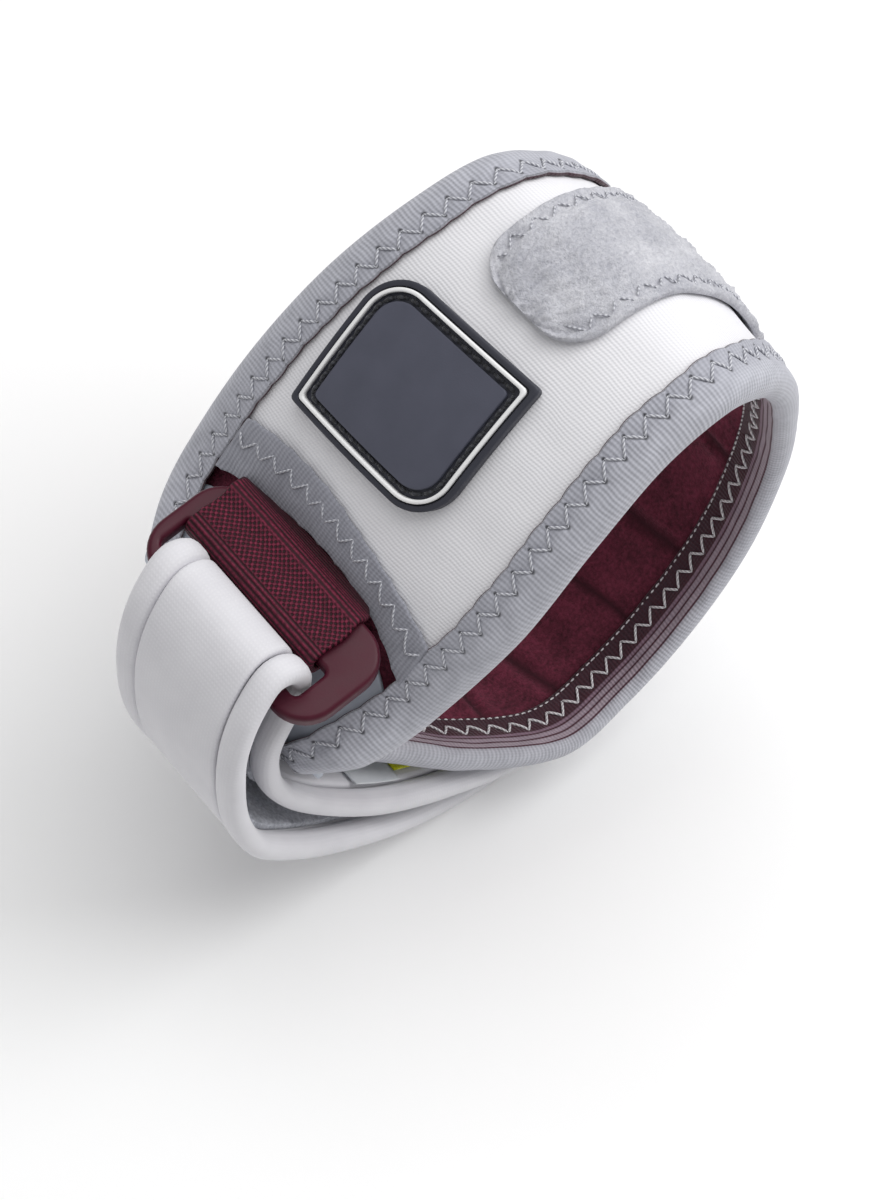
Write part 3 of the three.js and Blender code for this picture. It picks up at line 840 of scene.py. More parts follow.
@dataclass(frozen=True)
class MouldedRubber:
    """Moulded PVC rubber: matt, with a fine even grain."""

    name: str
    colour: str
    light: str

    def make(self) -> bpy.types.Material:
        """Return the material. Its low gloss lets the relief read softly."""
        sheet = Sheet(self.name)
        cloud = sheet.noise(5.0, 2.0)
        return sheet.finish(
            sheet.mix(cloud, self.colour, self.light), 0.55, sheet.noise(0.3, 2.0), 0.02, IOR=1.5)


@dataclass(frozen=True)
class PlyThread:
    """Sewing thread of two plies: painted highlight and shade in small slanting steps along the twist."""

    name: str
    dark: str
    light: str
    twist: float = 0.8

    def make(self) -> bpy.types.Material:
        """Return the material. The painted steps of highlight and shade give each stitch a thread's sparkle.
        """
        sheet = Sheet(self.name)
        # Painted highlight and shade: the colour steps from dark to light along the twist of the plies.
        turn = (sheet.u + sheet.v).wave(self.twist)
        return sheet.finish(sheet.mix(turn, self.dark, self.light), 0.6, turn, 0.06, Sheen_Weight=0.3)


@dataclass(frozen=True)
class ClearFilm:
    """Thin frosted plastic film: pale, a little see-through, with a soft gloss."""

    name: str = "frosted film"
    colour: str = "#dfe3e8"
    light: str = "#f4f6f8"

    def make(self) -> bpy.types.Material:
        """Return the material. Its haze dulls what lies behind it."""
        sheet = Sheet(self.name)
        haze = sheet.noise(2.5, 3.0)
        return sheet.finish(
            sheet.mix(haze, self.colour, self.light), 0.28, haze, 0.05, IOR=1.45, Transmission_Weight=0.25)


# The lining's fold lines round the cuff and their widths: its cloth creases there, and its colour has painted
# shade along them.
FOLDS = tuple((share * FORM.loop, wide) for share, wide in (
    (0.5, 1.6), (0.57, 1.2), (0.64, 2.0), (0.7, 1.4), (0.765, 2.2), (0.82, 1.5),
))


class Finish(Enum):
    """The object's finishes, each made once."""

    SHELL = LaminatedKnit()
    LINING = BrushedFleece("burgundy fleece", "#421422", "#8a3850", sheen=0.3, tint="#b87a8e", folds=FOLDS)
    RIM_TAPE = ElasticTape(
        "ribbed edge tape", holes=(3.25, 0.85), pitch=FORM.loop / RIM_STITCHES, length=21.0, bands=(
            (0.0, "#b4b5bf"), (0.3, "#c4c5ce"), (0.58, "#cacad3"), (0.605, "#c0bec8"), (0.611, "#51202f"),
            (0.622, "#51202f"), (0.629, "#b9a9b4"), (0.671, "#b9a9b4"), (0.677, "#4c1b2a"),
            (0.687, "#4c1b2a"), (0.694, "#b3a0ad"), (0.731, "#b3a0ad"), (0.737, "#4a1a29"),
            (0.747, "#4a1a29"), (0.754, "#96798a"), (0.774, "#96798a"), (0.783, "#481a28"), (1.0, "#3f1422"),
        ))
    WINDOW_TAPE = ElasticTape("ribbed window tape", bands=((0.0, "#9d9ea8"), (1.0, "#a1a2ac")))
    PLATE = MouldedPlastic("moulded polypropylene sheet", "#aab0bc", "#bac0ca", rough=0.42)
    WEBBING = WovenElastic()
    BUCKLE = MouldedPlastic("moulded acetal", "#450c20", "#571a2e", rough=0.34, gloss=0.3)
    STRAP = FoamKnit()
    PILE = BrushedFleece("grey felt", "#8f929d", "#dcdee6", fibre=0.6, cloud=3.0, relief=0.45, sheen=0.3)
    LOOPS = BrushedFleece(
        "brushed loop pile", "#adaeb8", "#dfdfe5", fibre=0.6, cloud=7.0, relief=0.5, sheen=0.3)
    HOOKS = MouldedPlastic("moulded nylon hooks", "#85878f", "#9b9da5", rough=0.5, grain=0.6)
    BADGE_DARK = MouldedRubber("dark moulded rubber", "#2a2b35", "#343642")
    BADGE_LINE = MouldedRubber("white moulded rubber", "#efeff0", "#f8f8f8")
    BADGE_FACE = MouldedRubber("slate moulded rubber", "#474957", "#525463")
    LIME = ElasticTape("lime ribbon", cord=0.6, bands=((0.0, "#dfe200"), (1.0, "#e6ea12")))
    FILM = ClearFilm()
    GREY_THREAD = PlyThread("grey sewing thread", "#8e8f99", "#d9dae0")
    WHITE_THREAD = PlyThread("white sewing thread", "#c4bfc6", "#ffffff")
    BLACK_THREAD = PlyThread("black sewing thread", "#0d0e12", "#30323b")

    def material(self) -> bpy.types.Material:
        """Return the finish's one material, making it the first time."""
        return bpy.data.materials.get(self.value.name) or self.value.make()


# The object's parts

@dataclass
class CuffWall:
    """The cuff's outer cloth and its lining."""

    inset: float = 1.2
    fold: float = 1.3
    past_window: float = 3.0

    def shell(self) -> None:
        """Lay the outer cloth from the window round to the buckle end."""
        steps = 300
        share, offset, height = PadSection(FORM.wall.shell_low, FORM.wall.shell_high, 0.5, 44).table()
        s = np.linspace(0, 1, steps + 1)[:, None]
        u = np.broadcast_to(s * FORM.loop, (steps + 1, len(share))).copy()
        end = (1 - FORM.end_gap) * FORM.loop
        # Its width depends on where it is round the cuff and its start on where it is across, so both
        # are found by turns.
        for _ in range(12):
            near, far = FORM.near(u), FORM.far(u)
            y = -near + self.inset + share * (near + far - 2 * self.inset) + offset
            start = FORM.window("inner", y) + self.past_window
            u = start + s * (end - start)
        lift = 0.22 * ripple(u, y, 34.0, 5) + 0.1 * ripple(u, y, 13.0, 9)
        fade = np.clip((np.minimum(FORM.near(u) + y, FORM.far(u) - y) - 8) / 6, 0, 1)
        h = np.broadcast_to(height, u.shape) + np.where(height > 0.6, np.minimum(lift * fade, 0.3), 0)
        piece = Piece("shell_cloth", Finish.SHELL, "shell_knit", "cuff_shell")
        declare(woven_grid(piece, FORM.point(u, y, h), np.stack([u, y], -1) * MM))

    def crease(self, u: np.ndarray, y: np.ndarray) -> np.ndarray:
        """Return how far the lining's soft folds stand inwards, in mm, flat under the rims' tapes."""
        total = 0.2 * ripple(u, y, 18.0, 3)
        for line, wide in FOLDS:
            off = (u - line - 2.0 * np.sin(y / 8 + line)) / wide
            ridge = np.exp(-np.abs(off - 1.3) ** 1.5) + 0.8 * np.exp(-np.abs(off + 1.3) ** 1.5)
            total = total + self.fold * (ridge * (0.7 + 0.3 * np.sin(y / 6 + line)) - 0.5 * np.exp(-off ** 2))
        free = np.clip((np.minimum(FORM.near(u) + y, FORM.far(u) - y) - 10.5) / 3.5, 0, 1)
        return np.clip(total, -0.3, 1.5) * free

    def lining(self) -> None:
        """Lay the fleece inside, with soft folds across it."""
        declare(pad_grid(
            Piece("lining_fleece", Finish.LINING, "lining_fleece", "cuff_lining"),
            np.linspace(0, FORM.loop, 541),
            lambda p: (-FORM.near(p) + self.inset, FORM.far(p) - self.inset),
            PadSection(-FORM.wall.lining_high, -FORM.wall.lining_low, 0.3, 36),
            lambda p, q, h: FORM.point(p, q, -h),
            self.crease,
        ))

    def build(self) -> None:
        """Make the wall."""
        self.shell()
        self.lining()


class Rim(Enum):
    """The cuff's two rims: the name of the solid, and which way its tape goes in from the edge."""

    NEAR = ("near_rim_binding", 1)
    FAR = ("far_rim_binding", -1)


@dataclass
class RimTape:
    """A ribbed tape folded over one rim, with the threads that hold it."""

    rim: Rim
    leg: float = 8.0
    inner_leg: float = 10.5
    thick: float = 0.9
    reach: float = 2.4
    stitches: int = RIM_STITCHES
    seam: float = 5.6
    inner_seam: float = 7.3
    swing: float = 1.2

    def inward(self, u: np.ndarray, depth: np.ndarray) -> np.ndarray:
        """Return y at a depth in from the rim."""
        edge = -FORM.near(u) if self.rim is Rim.NEAR else FORM.far(u)
        return edge + self.rim.value[1] * depth

    def section(self) -> np.ndarray:
        """Return depth, height and the distance over the tape of each point of its section."""
        high, low, reach = FORM.wall.rim_high, FORM.wall.rim_low, self.reach
        outer = [(d, high) for d in np.linspace(self.leg - 0.35, reach, 14)]
        angles = np.linspace(0, math.pi, 15)[1:-1]
        turn = [(reach * (1 - math.sin(a)), high * math.cos(a)) for a in angles]
        inner = [(d, low) for d in np.linspace(reach, self.inner_leg - 0.35, 18)]
        face = np.array(outer + turn + inner)
        length = np.concatenate([[0], np.cumsum(np.linalg.norm(np.diff(face, axis=0), axis=1))])
        t = self.thick
        back = [(self.inner_leg, low + 0.4), (self.inner_leg - 0.1, low + t)]
        back += [(d, low + t) for d in np.linspace(self.inner_leg - 1, 1.5, 5)]
        back += [(t, low + t + 0.8), (t, high - t - 0.8)]
        back += [(d, high - t) for d in np.linspace(1.5, self.leg - 1, 5)]
        back += [(self.leg - 0.1, high - t), (self.leg, high - 0.4)]
        points = np.vstack([face, back, face[:1]])
        over = np.concatenate([length, np.full(len(back), length[-1]), [0]])
        return np.column_stack([points, over])

    def tape(self) -> None:
        """Lay the tape, drawn in a little between the stitches and dipped at its seams."""
        depth, height, over = self.section().T
        u = np.linspace(0, FORM.loop, 601)[:, None]
        pitch = FORM.loop / self.stitches
        outside = height > 0
        free = np.clip((depth - self.leg + 1.6) / 1.6, 0, 1) * outside
        pucker = 0.3 * np.abs(np.sin(math.pi * u / pitch)) ** 0.7 + 0.12 * ripple(u, 0 * u, 17.0, 4)
        d = depth + free * pucker
        seam = np.where(outside, self.seam, self.inner_seam)
        line = seam + self.swing * zigzag(2 * u / pitch)
        dip = 0.26 * np.exp(-((depth - line) / 0.55) ** 2) + 0.12 * np.exp(-((depth - seam) / 1.8) ** 2)
        out = np.where(outside, 1, -1)
        h = height - out * np.where(np.abs(height) > 2.5, dip, 0)
        h = h + out * 0.09 * ripple(u, depth * 3, 9.0, 6) * np.where(np.abs(height) > 2, 1, 0)
        y = self.inward(u, d)
        uv = np.stack(np.broadcast_arrays(u, over), -1) * MM
        piece = Piece(f"{self.rim.name.lower()}_tape", Finish.RIM_TAPE, "edge_tape", self.rim.value[0])
        made = woven_grid(piece, FORM.point(np.broadcast_to(u, y.shape), y, h), uv)
        declare(made)

    def threads(self) -> None:
        """Sew a zigzag outside, one inside and a row of small stitches beside it."""
        side = self.rim.name.lower()
        count = 2 * self.stitches
        k = np.arange(count * 6) / 6
        u = k * FORM.loop / count
        bow = np.sin(math.pi * np.mod(k, 1)) ** 0.5
        for name, middle, high, way, thread in (
            ("outside", self.seam, FORM.wall.rim_high, 1, Finish.GREY_THREAD),
            ("inside", self.inner_seam, -FORM.wall.rim_low, -1, Finish.WHITE_THREAD),
        ):
            sew(Piece(f"{side}_zigzag_{name}", thread, "edge_tape"), u,
                self.inward(u, middle + self.swing * zigzag(k)), high - 0.5 + 0.45 * bow, 0.24, True, way)
        turns = 1200
        u = np.arange(turns) * FORM.loop / turns
        h = -FORM.wall.rim_low - 0.12 + 0.22 * np.sin(TAU * u / 1.5)
        sew(Piece(f"{side}_dot_stitches", Finish.WHITE_THREAD, "edge_tape"), u,
            self.inward(u, self.inner_leg - 0.6), h, 0.15, True, -1, 5)

    def build(self) -> None:
        """Make the tape and its threads."""
        self.tape()
        self.threads()


@dataclass
class Window:
    """The window at the buckle end: the plate in it and the tape along its curved edge."""

    pitch: float = 4.4
    short: float = 4.0
    plate_thick: float = 1.1
    plate_clear: float = 7.6
    tape_clear: float = 8.3
    seam: float = 0.62
    swing: float = 1.3

    def plate(self) -> None:
        """Lay the plate."""
        y = np.linspace(-FORM.width / 2, FORM.width / 2, 61)
        start = -FORM.end_gap * FORM.loop + 0.6
        reach = FORM.window("inner", y) - self.short
        inside = (-FORM.near(reach) + self.plate_clear < y) & (y < FORM.far(reach) - self.plate_clear)
        low = FORM.wall.shell_low + 0.25
        pad_grid(
            Piece("window_plate", Finish.PLATE, "plate_plastic", "stiffener_plate"),
            y[(reach > start + 1) & inside],
            lambda p: (np.full(p.shape, start), FORM.window("inner", p) - self.short),
            PadSection(low, low + self.plate_thick, 0.35, 24), lambda p, q, h: FORM.point(q, p, h),
        )

    def tape_run(self) -> np.ndarray:
        """Return y along the window's tape, where it is clear of the rims' tapes."""
        y = np.linspace(-FORM.width / 2, FORM.width / 2, 321)
        u = FORM.window("outer", y)
        return y[(y > -FORM.near(u) + self.tape_clear) & (y < FORM.far(u) - self.tape_clear)]

    def edges(self, y: np.ndarray) -> tuple[np.ndarray, np.ndarray]:
        """Return the tape's two edges at y, drawn in between the stitches."""
        wave = 0.3 * np.abs(np.sin(math.pi * y / self.pitch)) ** 0.7
        return FORM.window("inner", y) + wave, FORM.window("outer", y) - wave

    def tape(self) -> None:
        """Lay the curved tape, which runs under the rims' tapes at both ends."""
        declare(pad_grid(
            Piece("window_tape", Finish.WINDOW_TAPE, "edge_tape", "window_binding"),
            self.tape_run(), self.edges,
            PadSection(FORM.wall.seat, FORM.wall.rim_high, 0.35, 30, puff=0.12),
            lambda p, q, h: FORM.point(q, p, h), lambda p, q: 0.08 * ripple(p, q, 9.0, 8),
        ))

    def thread(self) -> None:
        """Sew a zigzag along the tape."""
        y = self.tape_run()
        run = y[-1] - y[0] - 1
        count = int(run / (self.pitch / 2) * 1.15)
        k = np.arange(count * 4 + 1) / 4
        v = y[0] + 0.5 + k / count * run
        u = FORM.window("inner", v) * (1 - self.seam) + FORM.window("outer", v) * self.seam
        u = u + self.swing * zigzag(k)
        h = FORM.wall.rim_high - 0.08 + 0.36 * np.sin(math.pi * np.mod(k, 1))
        sew(Piece("window_zigzag", Finish.GREY_THREAD, "edge_tape"), u, v, h, 0.2)

    def build(self) -> None:
        """Make the window's pieces."""
        self.plate()
        self.tape()
        self.thread()


def corner_inset(radius: float, d: np.ndarray) -> np.ndarray:
    """Return how far a rounded corner draws a side in, at the distance d from the end."""
    d = np.clip(d, 0, radius)
    return radius - np.sqrt(np.maximum(0, radius ** 2 - (radius - d) ** 2))


def eased(low: float, high: float, steps: int) -> np.ndarray:
    """Return steps that are closer together near both ends."""
    return low + (high - low) * (1 - np.cos(np.linspace(0, math.pi, steps + 1))) / 2


@dataclass
class LoopPatch:
    """The brushed patch that the strap's hooks grip, with its stitched margin."""

    rows: tuple[tuple[float, float, float], ...] = (
        (0.272, -0.32, 0.33), (0.34, -0.37, 0.31), (0.42, -0.5, 0.31), (0.52, -0.58, 0.33),
        (0.6, -0.6, 0.34),
    )
    thick: float = 1.4
    corner: float = 7.0
    margin: float = 2.3
    stitches: int = 48
    swing: float = 1.1

    def limits(self, u: np.ndarray) -> tuple[np.ndarray, np.ndarray]:
        """Return the patch's two sides at u."""
        table = np.array(self.rows)
        rows, near, far = table[:, 0] * FORM.loop, table[:, 1], table[:, 2]
        d = corner_inset(self.corner, np.minimum(u - rows[0], rows[-1] - u))
        half = FORM.width / 2
        return np.interp(u, rows, near) * half + d, np.interp(u, rows, far) * half - d

    def nap(self, p: np.ndarray, q: np.ndarray) -> np.ndarray:
        """Return the brushed loops' unevenness, in mm, and the groove where the margin is sewn."""
        near, far = self.limits(p)
        groove = 0.4 * np.exp(-((np.minimum(q - near, far - q) - self.margin) / 0.9) ** 2)
        return 0.2 * ripple(p, q, 1.7, 21) + 0.2 * ripple(p, q, 3.3, 22) - groove

    def build(self) -> None:
        """Make the patch and sew it down."""
        start, end = self.rows[0][0] * FORM.loop, self.rows[-1][0] * FORM.loop
        low = FORM.wall.seat
        u = np.concatenate([
            eased(start, start + 20, 30)[:16], np.linspace(start + 10.5, end - 10.5, 130),
            eased(end - 20, end, 30)[15:],
        ])
        declare(pad_grid(
            Piece("loop_patch_cloth", Finish.LOOPS, "loop_pile", "loop_patch"), u, self.limits,
            PadSection(low, low + self.thick, 0.6, 60, puff=0.1), FORM.point, self.nap,
        ))
        k = np.arange(0, 4 * self.stitches + 1) / 4
        u = start + 3 + k / self.stitches * (end - start - 6)
        h = low + self.thick - 0.3 + 0.3 * np.sin(math.pi * np.mod(k, 1))
        near, far = self.limits(u)
        for name, edge in (("near", near + self.margin), ("far", far - self.margin)):
            sew(Piece(f"patch_seam_{name}", Finish.GREY_THREAD, "loop_pile"), u,
                edge + self.swing * zigzag(k), h, 0.17)


@dataclass
class Badge:
    """The rubber badge: a thick base with a sunk middle, a raised line, a bare panel and its stitches."""

    at: tuple[float, float] = (0.203, 0.05)
    round: float = 27.8
    length: float = 32.4
    corner: float = 8.0
    sharp: float = 0.8
    turn: float = 3.5
    rim: float = 1.0
    line: float = 0.6
    thick: float = 2.0
    sink: float = 0.8
    raised: float = 0.4
    channel: float = 1.5
    stitches: int = 40

    def place(self, p: np.ndarray, q: np.ndarray, h: np.ndarray) -> np.ndarray:
        """Return points on the badge."""
        turn = math.radians(self.turn)
        cos, sin = math.cos(turn), math.sin(turn)
        u, y = self.at[0] * FORM.loop, self.at[1] * FORM.width
        return FORM.point(u + p * cos - q * sin, y + p * sin + q * cos, h)

    def limits(self, inset: float) -> Limits:
        """Return what gives the badge's sides, drawn in by an inset."""
        half_p, half_q = self.round / 2 - inset, self.length / 2 - inset
        soft, crisp = self.corner - inset, self.sharp

        def sides(p: np.ndarray) -> tuple[np.ndarray, np.ndarray]:
            """Return the two sides at p."""
            start, end = p + half_p, half_p - p
            low = -half_q + np.maximum(corner_inset(soft, start), corner_inset(crisp, end))
            high = half_q - np.maximum(corner_inset(crisp, start), corner_inset(soft, end))
            return low, high

        return sides

    def loop(self, inset: float, steps: int) -> np.ndarray:
        """Return points p, q round the badge, evenly spaced, at an inset."""
        half_p = self.round / 2 - inset
        p = eased(-half_p, half_p, 80)
        low, high = self.limits(inset)(p)
        ring = np.vstack([np.column_stack([p, low]), np.column_stack([p, high])[::-1]])
        ring = np.vstack([ring, ring[:1]])
        lengths = np.concatenate([[0], np.cumsum(np.linalg.norm(np.diff(ring, axis=0), axis=1))])
        s = np.linspace(0, lengths[-1], steps + 1)
        return np.column_stack([np.interp(s, lengths, ring[:, 0]), np.interp(s, lengths, ring[:, 1])])

    def frame(self, piece: Piece, outer: float, inner: float, low: float, high: float) -> None:
        """Make a raised frame between two insets.

        Args:
            piece: what it is.
            outer: its outer side's inset in mm.
            inner: its inner side's inset in mm.
            low: its lower height.
            high: its upper height.
        """
        a, inside = self.loop(outer, 240), self.loop(inner, 240)
        b = np.array([inside[np.argmin(np.linalg.norm(inside - row, axis=1))] for row in a])
        r = min(0.25, (inner - outer) / 3)
        share = r / (inner - outer)
        rows = [(0, low), (0, high - r), (share * 0.3, high - 0.3 * r), (share, high), (1 - share, high),
                (1 - share * 0.3, high - 0.3 * r), (1, high - r), (1, low), (0, low)]
        ring = np.stack([a * (1 - s) + b * s for s, _ in rows], axis=1)
        height = np.broadcast_to(np.array([h for _, h in rows]), ring.shape[:2])
        woven_grid(piece, self.place(ring[..., 0], ring[..., 1], height), ring * MM)

    def pad(self, piece: Piece, inset: float, steps: int, section: PadSection) -> None:
        """Make a flat piece of the badge's outline, drawn in by an inset."""
        half = self.round / 2 - inset
        pad_grid(piece, eased(-half, half, steps), self.limits(inset), section, self.place)

    def build(self) -> None:
        """Make the badge."""
        seat = FORM.wall.seat
        top = seat + self.thick
        floor = top - self.sink
        self.frame(Piece("badge_edge", Finish.BADGE_DARK, "badge_rubber", "badge_base"), 0.0, self.rim,
                   seat, top)
        self.pad(Piece("badge_floor", Finish.BADGE_DARK, "badge_rubber"), 0.5, 40,
                 PadSection(seat, floor, 0.2, 16))
        self.frame(Piece("badge_line", Finish.BADGE_LINE, "badge_line", "badge_border"), self.rim + 0.25,
                   self.rim + FORM.wall.gap + self.line, floor, top + self.raised)
        inset = self.rim + self.line + FORM.wall.gap
        self.pad(Piece("badge_face", Finish.BADGE_FACE, "badge_face", "badge_panel"), inset + self.channel, 50,
                 PadSection(floor - 0.1, top + 0.05, 0.3, 40))
        loop = self.loop(inset + self.channel * 0.55, 640)[:-1]
        h = floor + 0.12 + 0.3 * np.sin(TAU * np.arange(len(loop)) / len(loop) * self.stitches)
        sew(Piece("badge_stitches", Finish.BLACK_THREAD, "badge_rubber"), loop[:, 0], loop[:, 1], h, 0.3, True,
            place=self.place)


@dataclass
class Buckle:
    """The buckle: a rounded frame with one slot, in its own x, y and z before it is tilted."""

    at: tuple[float, float, float] = (-0.373, -0.034, 0.363)
    tilt: float = 15.0
    length: float = 42.0
    width: float = 19.6
    thick: float = 3.2
    corner: float = 6.5
    bar: float = 3.6
    slot: float = 6.4
    slot_length: float = 33.8
    slot_shift: float = 1.3
    edge_round: float = 0.85

    def place(self, p: np.ndarray) -> np.ndarray:
        """Return points of the buckle in the cuff's mm."""
        turn = math.radians(self.tilt)
        cos, sin = math.cos(turn), math.sin(turn)
        at = np.array([self.at[0] * FORM.length, self.at[1] * FORM.width, self.at[2] * FORM.depth])
        x, y, z = p[..., 0], p[..., 1], p[..., 2]
        return np.stack([x * cos + z * sin, y, -x * sin + z * cos], -1) + at

    @property
    def bar_left(self) -> float:
        """The broad bar's edge on the slot's side."""
        return -self.width / 2 + self.bar + self.slot

    def loop(
        self, bm: bmesh.types.BMesh, x: float, y: float, width: float, length: float, corner: float
    ) -> list[bmesh.types.BMEdge]:
        """Add a rounded rectangle.

        Args:
            bm: the shape to add it to.
            x: its middle across.
            y: its middle along.
            width: its width.
            length: its length.
            corner: its corners' radius.

        Returns:
            Its edges.
        """
        before = set(bm.faces)
        corners = bmesh.ops.create_grid(bm, x_segments=1, y_segments=1, size=0.5)["verts"]
        laid = Matrix.Translation((x, y, 0)) @ Matrix.Diagonal((width, length, 1, 1))
        bmesh.ops.transform(bm, verts=corners, matrix=laid)
        bmesh.ops.bevel(
            bm, geom=corners, offset=corner, segments=9, profile=0.5, affect="VERTICES", material=-1)
        face = next(face for face in bm.faces if face not in before)
        edges = list(face.edges)
        bmesh.ops.delete(bm, geom=[face], context="FACES_ONLY")
        return edges

    def build(self) -> None:
        """Make the frame: two loops bridged, given their thickness, and their edges rounded."""
        bm = bmesh.new()
        outer = self.loop(bm, 0, 0, self.width, self.length, self.corner)
        middle = -self.width / 2 + self.bar + self.slot / 2
        inner = self.loop(bm, middle, self.slot_shift, self.slot, self.slot_length, 1.0)
        bmesh.ops.bridge_loops(bm, edges=outer + inner)
        bmesh.ops.recalc_face_normals(bm, faces=bm.faces)
        grown = bmesh.ops.extrude_face_region(bm, geom=list(bm.faces))
        lifted = [item for item in grown["geom"] if isinstance(item, bmesh.types.BMVert)]
        bmesh.ops.translate(bm, verts=lifted, vec=(0, 0, self.thick))
        bmesh.ops.translate(bm, verts=bm.verts, vec=(0, 0, -self.thick / 2))
        bmesh.ops.recalc_face_normals(bm, faces=bm.faces)
        sharp = [edge for edge in bm.edges if len(edge.link_faces) == 2 and edge.calc_face_angle(0) > 1.0
                 and abs(edge.verts[0].co.z - edge.verts[1].co.z) < 1e-5]
        bmesh.ops.bevel(
            bm, geom=sharp, offset=self.edge_round, segments=4, profile=0.5, affect="EDGES", material=-1)
        layer = bm.loops.layers.uv.new("Cloth")
        for face in bm.faces:
            for corner in face.loops:
                corner[layer].uv = (corner.vert.co.x * MM, corner.vert.co.y * MM)
        for vert in bm.verts:
            vert.co = FORM.rest(self.place(np.array(vert.co)))
        finished(bm, Piece("buckle_frame", Finish.BUCKLE, "buckle_plastic", "buckle"))


@dataclass
class Webbing:
    """The elastic that holds the buckle: over its broad bar, round it and back beneath."""

    buckle: Buckle
    width: float = 31.0
    thick: float = 1.2
    shift: float = 0.053
    y: float = 1.8

    def strand(self, q: float) -> Spline:
        """Return the run of the webbing at the distance q from its middle."""
        half, left = self.buckle.width / 2, self.buckle.bar_left
        clear = self.buckle.thick / 2 + FORM.wall.gap + self.thick / 2 + 0.05
        y = self.shift * FORM.width + q
        edge = float(FORM.window("inner", y))
        rows = [FORM.flat_point(edge + 2.2, y, 0.7), FORM.flat_point(edge + 0.3, y, 1.1)]
        for x, over, z in (
            (half + 0.9, 1.0, 0.8), (half - 1, 0.8, clear + 0.1), (half - 4, 0.3, clear),
            (left + 1.5, 0.5, clear + 0.1), (left - 0.6, 0.5, clear - 0.6),
            (left - 0.55 - self.thick / 2, 0.5, 0), (left - 0.6, 0.5, 0.6 - clear),
            (left + 1.5, 0.5, -clear - 0.1), (half - 5, 0, -clear),
        ):
            rows.append(self.buckle.place(np.array([x, self.y + over + q, z])))
        return Spline(np.array(rows), closed=False, samples=600)

    def build(self) -> None:
        """Make the webbing. Its strands start along the window tape's curved edge."""
        steps, strands = 110, 31
        share, offset, height = PadSection(-self.thick / 2, self.thick / 2, 0.4, 40).table()
        q = -self.width / 2 + share * self.width + offset
        columns = [self.strand(value) for value in np.linspace(-self.width / 2, self.width / 2, strands)]
        rows = [np.linspace(0, column.length, steps + 1) for column in columns]
        points = np.stack([column.at(s) for column, s in zip(columns, rows)], axis=1)
        along = np.stack([column.along(s) for column, s in zip(columns, rows)], axis=1)
        back = np.stack([column.length - s for column, s in zip(columns, rows)], axis=1)[..., None]
        place = np.clip((q / self.width + 0.5) * (strands - 1), 0, strands - 1.001)
        low = np.floor(place).astype(int)
        x = (place - low)[None, :, None]
        p, t, d = (table[:, low] * (1 - x) + table[:, low + 1] * x for table in (points, along, back))
        d = d[..., 0]
        level = np.hypot(t[..., 0], t[..., 2])
        h = height + np.where(height > 0, 0.08 * ripple(d, q + 0 * d, 12.0, 31), 0)
        p = p + np.stack([-t[..., 2] / level * h, 0 * h, t[..., 0] / level * h], -1)
        uv = np.stack([d, np.broadcast_to(q, d.shape)], -1) * MM
        piece = Piece("webbing_cloth", Finish.WEBBING, "webbing", "webbing_tab")
        declare(woven_grid(piece, FORM.rest(p), uv))


